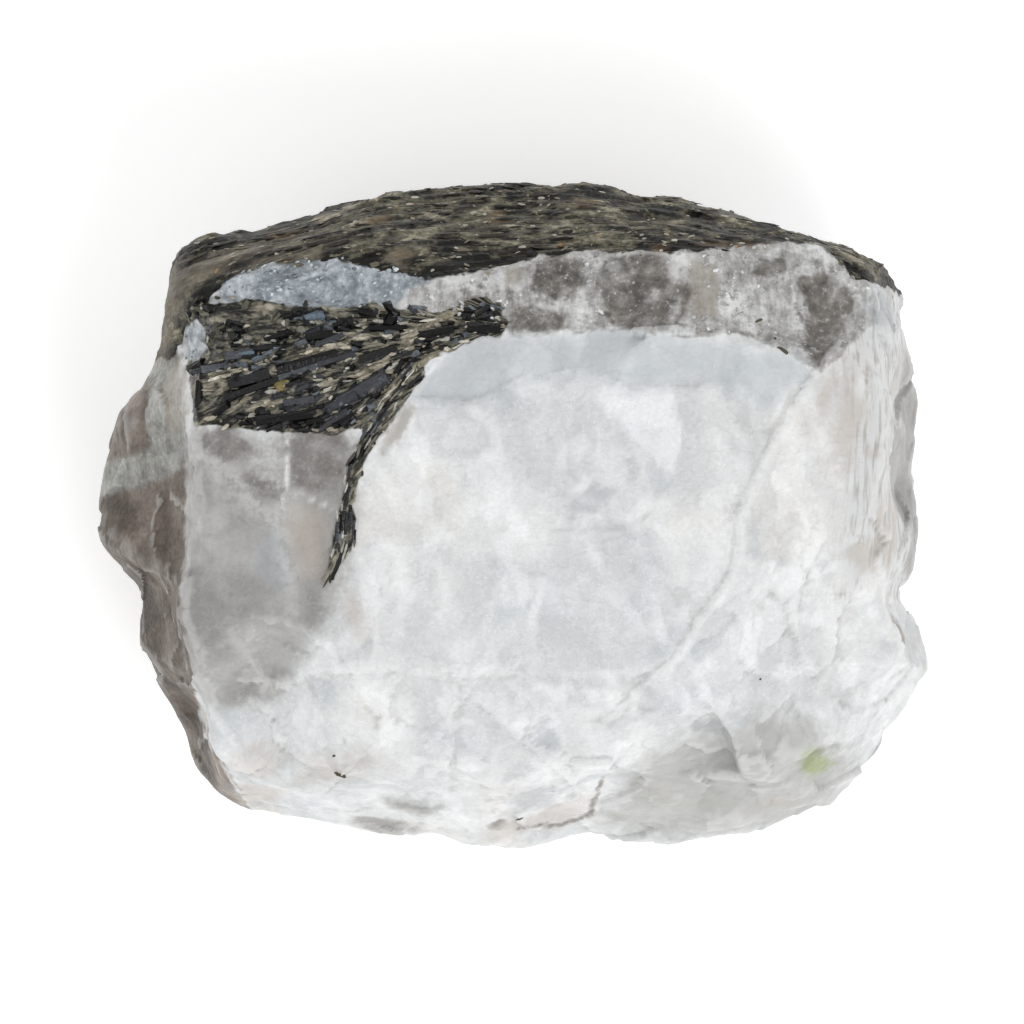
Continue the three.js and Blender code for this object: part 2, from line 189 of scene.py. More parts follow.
@dataclass(frozen=True)
class Grit:
    """Random numbers on the cells of space, and the noises made of them. Places are in cells."""

    seed: int

    def dice(self, cells: np.ndarray, salt: int = 0) -> np.ndarray:
        """Rolls one number from 0 to 1 for each cell.

        Args:
            cells: Whole numbers, one row of three for each cell.
            salt: Picks one of many numbers of the same cell.

        Returns:
            One number a row.
        """
        x, y, z = (cells[:, axis].astype(np.int64).astype(np.uint64) for axis in range(3))
        mixed = x * np.uint64(73856093) ^ y * np.uint64(19349663) ^ z * np.uint64(83492791)
        mixed = mixed ^ np.uint64((self.seed * 2654435761 + salt * 40503) % 2**32)
        for shift, factor in ((15, 739982445), (12, 695872825), (15, 1812433253)):
            mixed = (mixed & np.uint64(0xFFFFFFFF)) * np.uint64(factor)
            mixed = mixed ^ (mixed >> np.uint64(shift))
        return (mixed & np.uint64(0xFFFFFF)).astype(float) / float(0xFFFFFF)

    def smooth(self, places: np.ndarray) -> np.ndarray:
        """A smooth noise of -1 to 1 that changes from cell to cell.

        Args:
            places: One row of three for each place.

        Returns:
            One number a row.
        """
        base = np.floor(places)
        part = places - base
        fade = part * part * part * (part * (part * 6.0 - 15.0) + 10.0)
        total = np.zeros(len(places))
        for corner in np.ndindex(2, 2, 2):
            share = np.prod(np.where(np.array(corner) == 1, fade, 1.0 - fade), axis=1)
            total += share * self.dice(base + np.array(corner))
        return 2.0 * total - 1.0

    def layers(self, places: np.ndarray, count: int = 3, gain: float = 0.5) -> np.ndarray:
        """Smooth noise with finer and finer noise on it, still about -1 to 1.

        Args:
            places: One row of three for each place.
            count: How many noises, each twice as fine as the one before.
            gain: The height of each over the one before.

        Returns:
            One number a row.
        """
        heights = [gain**level for level in range(count)]
        shifted = [places * 2.0**level + 11.3 * level for level in range(count)]
        return sum(height * self.smooth(moved) for height, moved in zip(heights, shifted)) / sum(heights)

    def pushes(self, places: np.ndarray, count: int = 1, gain: float = 0.5) -> np.ndarray:
        """Rows of three layered noises, to push places about or to turn things."""
        return np.stack([Grit(self.seed + axis).layers(places, count, gain) for axis in range(3)], axis=1)

    def cells(self, places: np.ndarray) -> Iterator[Tuple[np.ndarray, np.ndarray, np.ndarray]]:
        """Goes through the cell of each place and its 26 neighbours, each with a heart and a lean of its own.

        Args:
            places: One row of three for each place.

        Yields:
            The cells, the squares of the places' distances from their hearts, and the heights of leaning
            planes through the hearts.
        """
        base = np.floor(places)
        for step in np.ndindex(3, 3, 3):
            cell = base + np.array(step) - 1.0
            away = places - cell - np.stack([self.dice(cell, salt) for salt in (1, 2, 3)], axis=1)
            lean = np.stack([self.dice(cell, salt) for salt in (4, 5, 6)], axis=1) - 0.5
            yield cell, np.sum(away * away, axis=1), np.sum(lean * away, axis=1)

    def scallops(self, places: np.ndarray, tilt: float = 0.35) -> np.ndarray:
        """The height of shell-like breaks: shallow bowls that meet in sharp ridges.

        Args:
            places: One row of three for each place.
            tilt: How much the bowls lean and differ in level.

        Returns:
            Heights of about -0.3 to 0.4 in cells.
        """
        lowest = np.full(len(places), np.inf)
        for cell, distance, slope in self.cells(places):
            height = distance + 2.0 * tilt * slope
            lowest = np.minimum(lowest, height + tilt * (self.dice(cell, 7) - 0.5))
        return lowest - 0.25

    def steps(self, places: np.ndarray, rise: float, tilt: float) -> Tuple[np.ndarray, np.ndarray]:
        """The flat faces of a stepped cleavage, each at a level and a lean of its own.

        Args:
            places: One row of three for each place.
            rise: The most that two faces differ in level.
            tilt: The most that a face leans, as a slope.

        Returns:
            Heights in cells, and a tone of 0 to 1 for each face.
        """
        nearest = np.full(len(places), np.inf)
        height, tone = np.zeros(len(places)), np.zeros(len(places))
        for cell, distance, slope in self.cells(places):
            closer = distance < nearest
            nearest = np.where(closer, distance, nearest)
            face = rise * (self.dice(cell, 7) - 0.5) + 2.0 * tilt * slope
            height = np.where(closer, face, height)
            tone = np.where(closer, self.dice(cell, 8), tone)
        return height, tone


# ---------------------------------------------------------------- outlines seen from above


@dataclass(frozen=True)
class Patch:
    """An area by its corners."""

    corners: Corners

    def inside(self, places: np.ndarray) -> np.ndarray:
        """How far each place lies inside the outline.

        Args:
            places: One row of x, y, z for each place, in millimetres.

        Returns:
            Millimetres, less than 0 outside.
        """
        spot = places[:, :2]
        nearest = np.full(len(spot), np.inf)
        within = np.zeros(len(spot), bool)
        for start, end in zip(self.corners, (*self.corners[1:], self.corners[0])):
            first, edge = np.array(start), np.array(end) - np.array(start)
            share = np.clip((spot - first) @ edge / (edge @ edge), 0.0, 1.0)
            nearest = np.minimum(nearest, np.linalg.norm(spot - first - share[:, None] * edge, axis=1))
            spans = (start[1] > spot[:, 1]) != (end[1] > spot[:, 1])
            rise = edge[1] if edge[1] else 1.0
            within ^= spans & (spot[:, 0] < first[0] + (spot[:, 1] - first[1]) * edge[0] / rise)
        return np.where(within, nearest, -nearest)


@dataclass(frozen=True)
class Oval:
    """A rounded grain or stain."""

    centre: Tuple[float, float]
    half: Tuple[float, float]
    turn: float = 0.0

    def inside(self, places: np.ndarray) -> np.ndarray:
        """How far each place lies inside, in millimetres, less than 0 outside."""
        angle = math.radians(self.turn)
        x, y = (places[:, :2] - np.array(self.centre)).T
        along = (x * math.cos(angle) + y * math.sin(angle)) / self.half[0]
        across = (y * math.cos(angle) - x * math.sin(angle)) / self.half[1]
        return (1.0 - np.hypot(along, across)) * min(self.half)


@dataclass(frozen=True)
class Trail:
    """A thin winding body by its stops: x, y and half its width there."""

    stops: Tuple[Tuple[float, float, float], ...]

    def nearest(self, places: np.ndarray) -> Tuple[np.ndarray, np.ndarray, np.ndarray, np.ndarray]:
        """Finds the nearest point of the trail's middle line.

        Args:
            places: One row of x, y, z for each place, in millimetres.

        Returns:
            The distance, the distance with a sign that is positive on the left of the line's direction, half
            the width there, and the line's direction as rows of x, y, z.
        """
        spot = places[:, :2]
        best = np.full(len(spot), np.inf)
        side, width = np.zeros(len(spot)), np.zeros(len(spot))
        along = np.zeros((len(spot), 3))
        for start, end in zip(self.stops, self.stops[1:]):
            first, edge = np.array(start[:2]), np.array(end[:2]) - np.array(start[:2])
            share = np.clip((spot - first) @ edge / (edge @ edge), 0.0, 1.0)
            away = spot - first - share[:, None] * edge
            distance = np.linalg.norm(away, axis=1)
            closer = distance < best
            best = np.where(closer, distance, best)
            leg = edge / np.linalg.norm(edge)
            side = np.where(closer, np.copysign(distance, leg[0] * away[:, 1] - leg[1] * away[:, 0]), side)
            width = np.where(closer, start[2] + share * (end[2] - start[2]), width)
            along[closer] = (leg[0], leg[1], 0.0)
        return best, side, width, along

    def inside(self, places: np.ndarray) -> np.ndarray:
        """How far each place lies inside, in millimetres, less than 0 outside."""
        distance, _, width, _ = self.nearest(places)
        return width - distance


@dataclass(frozen=True)
class Lip:
    """A line where the surface steps up on one side and falls back slowly behind the step."""

    line: Trail
    rise: float
    reach: float
    pale: float
    blunt: float = 0.22

    def height(self, places: np.ndarray) -> np.ndarray:
        """The step's height: full just left of the line, and dying away over the reach."""
        distance, side, _, _ = self.line.nearest(places)
        return self.rise * smoothstep(side, -self.blunt, self.blunt) * np.exp(-distance / self.reach)

    def paleness(self, places: np.ndarray) -> np.ndarray:
        """How white the line is, from 0 to 1: partly bruising and partly painted highlight along the step."""
        distance, _, width, _ = self.line.nearest(places)
        return self.pale * np.exp(-((distance / np.maximum(width, 0.05)) ** 2))


@dataclass(frozen=True)
class MineralMap:
    """Where the minerals lie, seen from above: leaves of crust in a bow, a wedge fanned out from its tip."""

    crust_edge: Corners = (
        (-23.0, 8.1), (-18.2, 8.2), (-17.5, 9.0), (-17.2, 10.6), (-16.2, 11.0), (-15.4, 12.0), (-14.1, 12.7),
        (-12.3, 13.2), (-10.4, 13.3), (-8.6, 13.2), (-6.8, 12.8), (-4.9, 12.4), (-3.1, 12.5), (-1.5, 12.7),
        (-0.4, 13.2), (1.4, 13.6), (5.7, 13.7), (8.1, 13.8), (11.3, 14.0), (14.9, 14.4), (16.1, 14.3),
        (17.4, 13.3), (18.1, 12.4), (19.0, 12.2), (23.0, 11.8),
    )
    crust_crest: float = 2.5
    crust_bow: float = 55.0
    tip: Tuple[float, float] = (0.6, 9.9)
    fan: float = 9.0
    muddle_edge: Tuple[float, float] = (0.19, 11.7)
    wedge: Patch = Patch((
        (-16.6, 11.3), (-15.9, 11.0), (-14.1, 11.1), (-11.5, 11.0), (-9.3, 10.8), (-7.5, 10.9), (-5.8, 10.6),
        (-4.0, 10.7), (-2.9, 10.9), (-2.2, 11.2), (-1.3, 11.3), (-0.9, 10.9), (-0.4, 10.9), (-0.6, 10.3),
        (-0.1, 9.9), (-0.5, 9.5), (-0.8, 9.1), (-1.5, 9.2), (-2.3, 8.8), (-4.1, 8.3), (-5.4, 7.1),
        (-6.3, 6.1), (-7.6, 4.4), (-9.7, 4.2), (-12.4, 4.4), (-14.8, 4.5), (-16.9, 4.6), (-17.0, 6.7),
        (-17.3, 8.0), (-17.4, 10.2),
    ))
    tail: Trail = Trail((
        (-5.2, 7.3, 0.6), (-6.3, 5.7, 0.52), (-7.5, 3.7, 0.4), (-8.2, 2.1, 0.34), (-8.7, 0.5, 0.34),
        (-8.8, -0.8, 0.52), (-8.9, -1.8, 0.5), (-9.3, -2.7, 0.32), (-9.8, -3.6, 0.12),
    ))
    veins: Tuple[Trail, ...] = (
        Trail(((-13.2, 7.2, 0.03), (-11.6, 8.1, 0.07), (-9.8, 8.7, 0.11), (-8.1, 9.2, 0.14),
               (-7.0, 9.0, 0.04))),
        Trail(((-8.3, 7.1, 0.04), (-7.7, 7.4, 0.12), (-6.7, 8.1, 0.13), (-5.3, 9.3, 0.3), (-4.6, 9.9, 0.14),
               (-3.4, 10.5, 0.2), (-2.6, 10.7, 0.04))),
        Trail(((-7.2, 5.4, 0.04), (-6.2, 6.6, 0.15), (-5.4, 7.5, 0.16), (-4.2, 8.2, 0.14),
               (-2.9, 8.6, 0.04))),
        Trail(((-10.2, 6.8, 0.03), (-9.3, 7.1, 0.08), (-8.6, 7.3, 0.03))),
        Trail(((-16.0, 6.7, 0.03), (-15.2, 7.0, 0.14), (-14.0, 7.6, 0.04))),
        Trail(((-15.9, 5.2, 0.03), (-14.6, 5.6, 0.09), (-13.8, 6.0, 0.03))),
    )
    lens: Patch = Patch((
        (-15.5, 11.3), (-15.6, 12.0), (-14.1, 13.3), (-11.5, 13.8), (-8.6, 13.6), (-6.0, 13.2), (-3.6, 12.8),
        (-4.6, 12.0), (-5.6, 11.6), (-6.3, 10.6), (-7.1, 10.6), (-11.8, 10.8), (-14.2, 10.8),
    ))
    shard: Patch = Patch((
        (-17.4, 8.3), (-16.7, 8.0), (-16.2, 8.7), (-16.3, 9.7), (-16.8, 10.2), (-17.3, 9.6),
    ))
    brow: Patch = Patch((
        (-6.9, 12.2), (-3.1, 13.2), (-0.6, 13.4), (1.8, 14.0), (7.2, 14.2), (13.1, 14.8), (15.8, 15.0),
        (19.0, 12.8), (19.4, 9.9), (18.0, 8.9), (16.4, 7.2), (14.6, 8.3), (12.5, 9.2), (9.0, 9.5), (5.7, 9.4),
        (3.0, 9.5), (0.1, 9.2), (-1.0, 9.8), (-3.4, 10.2), (-6.6, 10.4),
    ))
    quartz: Tuple[Union[Oval, Patch], ...] = (
        Patch(((4.4, 12.0), (5.0, 13.3), (7.4, 13.7), (8.8, 13.2), (9.3, 11.6), (8.6, 10.0), (7.6, 9.5),
               (5.6, 9.6), (4.8, 10.4))),
        Patch(((0.9, 11.7), (1.3, 13.2), (2.7, 13.6), (3.9, 13.1), (4.0, 11.9), (2.9, 11.2))),
        Patch(((-0.2, 9.6), (0.2, 10.8), (1.9, 11.0), (2.7, 10.4), (2.6, 9.5))),
        Patch(((14.9, 12.3), (16.8, 12.6), (18.3, 11.6), (17.7, 9.7), (16.3, 7.4), (15.2, 8.8),
               (15.6, 10.4))),
        Patch(((12.6, 12.5), (13.0, 13.4), (14.3, 13.6), (14.6, 12.8), (13.6, 12.2))),
    )
    tan: Tuple[Oval, ...] = (
        Oval((10.0, 11.7), (0.85, 1.9), 4.0), Oval((0.2, 12.6), (0.6, 0.7)),
        Oval((-5.9, 4.6), (0.5, 1.5), -32.0), Oval((-17.9, 6.3), (0.7, 2.2)),
    )
    bright_grains_and_highlights: Tuple[Union[Oval, Trail], ...] = (
        Trail(((8.6, 11.3, 0.04), (8.5, 10.4, 0.12), (8.5, 9.7, 0.06))),
        Trail(((9.2, 9.8, 0.08), (10.4, 9.8, 0.12))),
        Trail(((16.9, 13.4, 0.05), (17.9, 12.3, 0.16), (18.6, 10.9, 0.05))),
        Trail(((15.4, 13.9, 0.08), (16.6, 13.6, 0.14))), Trail(((7.0, 11.2, 0.02), (7.5, 11.5, 0.08))),
        Oval((8.7, 12.8), (0.35, 0.5)), Oval((15.1, 10.2), (0.3, 0.6), -15.0),
        Oval((2.3, 11.1), (0.5, 0.2), 20.0),
        Oval((11.6, 11.0), (0.8, 1.0), -10.0), Oval((3.7, 10.3), (0.4, 0.9), 8.0),
        Oval((16.0, 13.9), (0.9, 0.5), -30.0), Oval((9.0, 13.4), (0.7, 0.3)),
        Oval((-2.3, 11.9), (1.2, 0.45), 8.0),
        # The oval at (14.8, -8.3) is a painted glint, and the long ovals at (11.0, -1.5) and (15.6, -2.2) are
        # painted light on the face past the ridge; the other shapes are white crystals and lines.
        Oval((18.6, 6.9), (0.4, 1.0), -10.0), Oval((14.8, -8.3), (0.9, 0.6), 20.0),
        Oval((11.0, -1.5), (0.5, 2.6), -22.0), Oval((15.6, -2.2), (0.8, 2.8), -12.0),
    )
    films: Tuple[Union[Oval, Trail], ...] = (
        Oval((-12.9, 3.1), (0.9, 1.2)), Trail(((-16.7, 3.6, 0.3), (-14.6, 1.4, 0.5), (-12.6, -0.4, 0.3))),
        Trail(((-12.2, 0.2, 0.1), (-12.1, -2.4, 0.3), (-11.4, -5.0, 0.2))),
        Oval((-6.4, -4.6), (1.0, 3.0), -12.0),
        Trail(((-10.6, -8.4, 0.3), (-7.0, -8.1, 0.7), (-3.0, -8.4, 0.4), (2.0, -7.8, 0.5))),
        Trail(((-14.9, -6.2, 0.1), (-12.8, -9.4, 0.3), (-11.0, -12.8, 0.5))),
        Oval((-2.6, -13.4), (1.6, 1.2), 30.0),
    )
    haze: Patch = Patch((
        (-16.7, 4.2), (-9.7, 4.2), (-7.6, 3.7), (-8.2, 0.8), (-8.7, -3.4), (-9.7, -5.5), (-11.2, -8.1),
        (-12.7, -9.9), (-15.7, -10.5), (-18.6, -9.0), (-19.6, -4.6), (-19.2, 4.2),
    ))
    smoke: Tuple[Patch, ...] = (
        Patch(((-11.7, 4.7), (-9.6, 4.7), (-8.3, 3.3), (-9.0, 1.7), (-10.3, 1.0), (-11.6, 1.4))),
        Patch(((-16.7, 4.3), (-14.3, 4.5), (-13.9, 3.0), (-14.8, 2.0), (-16.2, 3.0))),
        Patch(((-14.0, 2.2), (-12.5, 1.5), (-11.8, 0.5), (-13.2, 0.8), (-14.3, 1.6))),
    )
    flank_edge: Corners = (
        (-13.0, -18.0), (-14.2, -15.8), (-16.6, -12.0), (-17.4, -5.0), (-17.3, 4.0), (-17.8, 8.0),
        (-18.6, 12.0),
    )
    stripe: Patch = Patch((
        (-19.4, 8.6), (-17.4, 8.4), (-16.9, 4.3), (-17.4, 2.4), (-18.4, 1.9), (-20.0, 1.2), (-21.6, 0.9),
        (-24.0, 0.8), (-24.0, 2.4), (-20.6, 2.9), (-19.2, 3.6), (-19.4, 6.0),
    ))
    blue: Patch = Patch((
        (-4.6, 7.6), (-2.4, 8.7), (0.2, 9.1), (9.0, 9.4), (14.8, 8.2), (15.4, 7.0), (13.6, 5.6), (9.6, 6.9),
        (6.0, 6.4), (3.6, 7.2), (1.4, 7.0), (-0.6, 6.0), (-3.2, 5.5), (-5.4, 5.6), (-6.4, 4.9),
    ))
    # A greyer patch over the lower right: painted shade.
    grey: Patch = Patch((
        (7.0, -13.0), (10.0, -11.6), (13.0, -10.6), (16.5, -11.4), (18.4, -13.5), (16.6, -17.2), (9.0, -17.6),
        (4.4, -17.0),
    ))
    rose: Tuple[Oval, ...] = (
        Oval((-11.0, -1.5), (1.1, 1.7), 6.0), Oval((-8.0, -5.4), (0.6, 1.2), 20.0),
        Oval((-13.6, -13.4), (1.2, 0.9), 30.0), Oval((-9.5, -13.6), (2.0, 0.7), 12.0),
        Oval((17.6, 4.9), (0.9, 2.7), -14.0), Oval((16.5, 6.0), (0.5, 1.6), -24.0),
    )
    moss: Oval = Oval((16.3, -13.4), (0.9, 0.7), -20.0)
    buff: Trail = Trail((
        (-19.0, 8.4, 0.7), (-18.6, 10.4, 0.6), (-17.8, 12.2, 0.9), (-16.2, 13.2, 0.5), (-13.8, 13.9, 0.2),
        (-11.4, 14.1, 0.05),
    ))
    rust: Tuple[Oval, ...] = (
        Oval((-12.3, 14.8), (1.1, 0.3), 6.0), Oval((-7.1, 15.5), (0.5, 0.3), 10.0),
        Oval((3.6, 16.6), (0.9, 0.2), -4.0), Oval((8.4, 15.3), (0.5, 0.16), -10.0),
        Oval((7.7, 13.9), (0.4, 0.3)),
        Oval((-0.9, 9.5), (0.3, 0.25)), Oval((-5.8, 13.6), (0.6, 0.2), -8.0),
        Oval((11.6, 14.2), (1.2, 0.14), -4.0), Oval((-9.7, -3.4), (0.25, 0.3)),
    )
    # Bluish-grey darker patches: painted shade.
    shade_patches: Tuple[Oval, ...] = (
        Oval((10.4, -11.3), (0.8, 0.35)), Oval((1.7, -12.0), (0.7, 0.9)),
        Oval((1.3, -15.2), (1.5, 0.5), 10.0),
        Oval((-12.6, -2.4), (1.0, 1.6), 10.0), Oval((4.2, 0.6), (1.3, 0.7), 30.0),
        Oval((19.6, 11.0), (0.8, 1.5), 10.0),
    )
    dirt: Tuple[Trail, ...] = (
        Trail(((4.8, -14.1, 0.03), (4.6, -15.2, 0.1), (4.2, -16.2, 0.12), (2.6, -16.8, 0.12),
               (0.4, -16.8, 0.06))),
        # This line along the ledge of the white face is painted shadow; the other trails are grime.
        Trail(((8.4, 9.35, 0.05), (10.6, 9.45, 0.08), (12.6, 9.25, 0.06))),
        Trail(((8.7, 13.1, 0.03), (9.2, 11.8, 0.16), (8.8, 10.3, 0.1), (8.2, 9.7, 0.02))),
        Trail(((4.4, 12.0, 0.02), (4.7, 10.6, 0.08), (5.5, 9.7, 0.06), (7.6, 9.5, 0.08))),
        Trail(((-17.5, -9.4, 0.03), (-17.0, -10.6, 0.08), (-15.9, -12.9, 0.1), (-14.3, -15.2, 0.04))),
        Trail(((20.5, 11.6, 0.02), (20.8, 10.4, 0.12), (20.4, 9.6, 0.02))),
        Trail(((17.0, 13.4, 0.02), (18.2, 12.2, 0.1), (18.9, 11.0, 0.02))),
    )
    # Each lip's last number is how white its line is: partly bruising and partly painted highlight along the
    # step.
    lips: Tuple[Lip, ...] = (
        Lip(Trail(((7.2, -8.7, 0.25), (9.0, -7.0, 0.3), (11.3, -3.4, 0.3), (12.1, -0.1, 0.22),
                   (12.8, 1.9, 0.2), (14.0, 4.3, 0.16), (15.0, 5.9, 0.1))), -0.42, 2.4, 0.75),
        Lip(Trail(((-12.7, -9.3, 0.2), (-10.6, -8.5, 0.2), (-8.2, -8.3, 0.2), (-5.9, -8.4, 0.15),
                   (-3.5, -8.8, 0.12), (-0.5, -8.3, 0.15))), 0.24, 1.6, 0.35),
        Lip(Trail(((0.6, -8.5, 0.2), (3.0, -8.7, 0.2), (7.2, -8.7, 0.2))), 0.16, 1.6, 0.2),
        Lip(Trail(((-2.9, -8.9, 0.14), (1.0, -12.2, 0.14), (4.8, -15.9, 0.16))), 0.22, 1.4, 0.35),
        Lip(Trail(((-2.9, -8.9, 0.14), (-3.2, -12.6, 0.14), (-3.6, -16.4, 0.14))), -0.22, 1.4, 0.35),
        Lip(Trail(((-4.1, 5.9, 0.08), (-2.2, 5.8, 0.08), (-0.7, 6.3, 0.1), (1.0, 7.1, 0.1), (2.8, 7.5, 0.1),
                   (4.6, 7.2, 0.1), (6.4, 6.4, 0.08), (9.6, 6.6, 0.06))), -0.22, 1.4, 0.45),
        Lip(Trail(((2.6, -1.2, 0.1), (6.4, -0.9, 0.12), (9.6, 0.8, 0.1))), -0.12, 1.5, 0.3),
        Lip(Trail(((-17.7, 7.4, 0.2), (-17.2, 3.0, 0.2), (-17.2, -3.0, 0.16), (-17.6, -7.6, 0.16),
                   (-16.8, -11.4, 0.2), (-14.8, -15.4, 0.16))), 0.14, 0.8, 0.12),
        Lip(Trail(((-11.7, 4.3, 0.1), (-11.8, 2.2, 0.12), (-12.0, 0.4, 0.08))), 0.12, 0.5, 0.85),
        Lip(Trail(((-13.2, 2.1, 0.06), (-12.2, 1.2, 0.08), (-9.4, 0.1, 0.06))), 0.05, 0.5, 0.6),
        Lip(Trail(((-4.1, 7.7, 0.08), (-5.4, 6.3, 0.09), (-6.4, 4.2, 0.09), (-7.4, 2.8, 0.08),
                   (-7.9, 1.4, 0.06))), 0.14, 0.5, 0.95),
        Lip(Trail(((14.8, 8.6, 0.1), (9.0, 9.6, 0.1), (3.0, 9.6, 0.1), (0.0, 9.2, 0.1))), 0.12, 0.6, 0.4),
    )
    wander: float = 0.32
    wander_size: float = 1.9
    drift_size: float = 5.5
    patch_size: float = 7.0
    deepest: float = 4.0

    def leaf_place(self, places: np.ndarray) -> np.ndarray:
        """Places in the crust's own directions: along its leaves, across them, and up."""
        x, y, z = places.T
        return np.stack([x, y + (x - self.crust_crest) ** 2 / (2.0 * self.crust_bow), z], axis=1)

    def leaf_along(self, places: np.ndarray) -> np.ndarray:
        """The direction along the crust's leaves at each place."""
        slope = -(places[:, 0] - self.crust_crest) / self.crust_bow
        along = np.stack([np.ones(len(slope)), slope, np.zeros(len(slope))], axis=1)
        return along / np.linalg.norm(along, axis=1)[:, None]

    def wedge_place(self, places: np.ndarray) -> np.ndarray:
        """Places in the wedge's own directions: away from its tip, round it, and up."""
        x, y = (places[:, :2] - np.array(self.tip)).T
        return np.stack([np.hypot(x, y), self.fan * np.arctan2(y, -x), places[:, 2]], axis=1)

    def wedge_along(self, places: np.ndarray) -> np.ndarray:
        """The direction away from the wedge's tip at each place."""
        away = places - np.array([*self.tip, 0.0])
        away[:, 2] = 0.0
        return away / np.maximum(np.linalg.norm(away, axis=1), 1e-6)[:, None]

    def muddled(self, places: np.ndarray) -> np.ndarray:
        """How far each place lies inside the upper part of the wedge, where the grain is lost."""
        slope, level = self.muddle_edge
        return places[:, 1] - slope * places[:, 0] - level

    def drawn(self, places: np.ndarray) -> np.ndarray:
        """Places pushed about a little, so that no outline runs straight."""
        return places + self.wander * Grit(Roll.OUTLINES).pushes(places / self.wander_size, 3, 0.6)

    def zones(self, places: np.ndarray) -> Depths:
        """How far each place lies inside each zone.

        Args:
            places: One row of x, y, z for each place, in millimetres.

        Returns:
            Millimetres for each zone, less than 0 outside.
        """
        crown, low = places[:, 2] - CROWN, CROWN - places[:, 2]
        drift = Grit(Roll.DRIFT).layers(places / self.drift_size, 3)
        patchy = Grit(Roll.PATCHES).layers(places / self.patch_size, 3)
        spots = self.drawn(places)
        x, y, _ = spots.T

        def most(shapes: Sequence[Union[Patch, Oval, Trail]]) -> np.ndarray:
            """How far each place lies inside any of the shapes."""
            return np.maximum.reduce([shape.inside(spots) for shape in shapes])

        def blotches(noise_there: np.ndarray, over: float, steep: float = 6.0) -> np.ndarray:
            """Blotches where a noise is over a level, deeper the more it is over it."""
            return steep * (noise_there - over)

        def either(drawn: np.ndarray, strewn: np.ndarray) -> np.ndarray:
            """What is drawn on the upper face, and what is strewn over the sides."""
            return np.maximum(np.minimum(drawn, crown), np.minimum(strewn, low))

        crust = y - np.interp(x, *np.array(self.crust_edge).T) + 0.2 * drift
        vein = most(self.veins)
        tail = self.tail.inside(spots)
        spray = np.minimum(np.maximum(self.wedge.inside(spots), tail), -self.shard.inside(spots))
        blades = np.minimum.reduce([spray, crown, -vein - 0.1, -tail])
        muddle = self.muddled(places)
        brow, quartz = self.brow.inside(spots), most(self.quartz)
        made = {
            Zone.CRUST: crust,
            Zone.SPRAY: np.minimum(spray, crown),
            Zone.BLADES: blades,
            Zone.LATHS: np.minimum(blades, -muddle),
            Zone.MUDDLE: np.minimum(blades, muddle),
            Zone.TAIL: np.minimum(tail, crown),
            Zone.VEIN: np.minimum(vein, crown),
            Zone.LENS: np.minimum(most((self.lens, self.shard)), crown + 3.0),
            Zone.BROW: np.minimum(brow, crown + 2.0),
            Zone.SUGAR: np.minimum.reduce([brow, -quartz, -crust, crown]),
            Zone.QUARTZ: np.minimum(quartz, crown),
            Zone.HAZE: either(self.haze.inside(spots), blotches(patchy, 0.22)),
            Zone.SMOKE: either(most(self.smoke), blotches(drift, 0.62)),
            Zone.FLANK: np.interp(y, *np.array(self.flank_edge)[:, ::-1].T) - x,
            Zone.STRIPE: self.stripe.inside(spots),
            Zone.FIBRES: np.minimum(x - 17.4, y + 5.0 + 4.0 * patchy),
            Zone.BLUE: np.minimum(self.blue.inside(spots), crown),
            Zone.GREY_SHADE: self.grey.inside(spots),
            Zone.ROSE: either(most(self.rose), blotches(-patchy, 0.4)),
            Zone.TAN: np.minimum(most(self.tan), crown),
            Zone.MOSS: np.minimum(self.moss.inside(spots), crown + 4.0),
            Zone.SHADE_PATCH: np.minimum(most(self.shade_patches), crown + 4.0),
            Zone.DIRT_AND_SHADOW: most(self.dirt),
            Zone.BUFF: np.maximum(self.buff.inside(spots), np.minimum(crust, blotches(patchy, 0.5))),
            Zone.RUST: np.maximum(
                np.minimum(most(self.rust), crown + 5.0), np.minimum(crust, blotches(drift, 0.62, 5.0))
            ),
        }
        return {zone: np.clip(depth, -self.deepest, self.deepest) for zone, depth in made.items()}

    def paleness(self, places: np.ndarray) -> np.ndarray:
        """How white the lips, the pale specks and the films are, from 0 to 1; part of it is painted
        highlight.
        """
        spots = self.drawn(places)
        lips = [lip.paleness(spots) for lip in self.lips]
        # Some of these shapes are a painted glint and painted light on the face past the ridge.
        grains_and_highlights = [0.6 * smoothstep(grain.inside(spots), -0.35, 0.3) for grain in self.bright_grains_and_highlights]
        films = [0.28 * smoothstep(film.inside(spots), -0.8, 0.5) for film in self.films]
        return np.maximum.reduce(lips + grains_and_highlights + films) * smoothstep(places[:, 2], CROWN - 2.0, CROWN)


# ---------------------------------------------------------------- node helpers


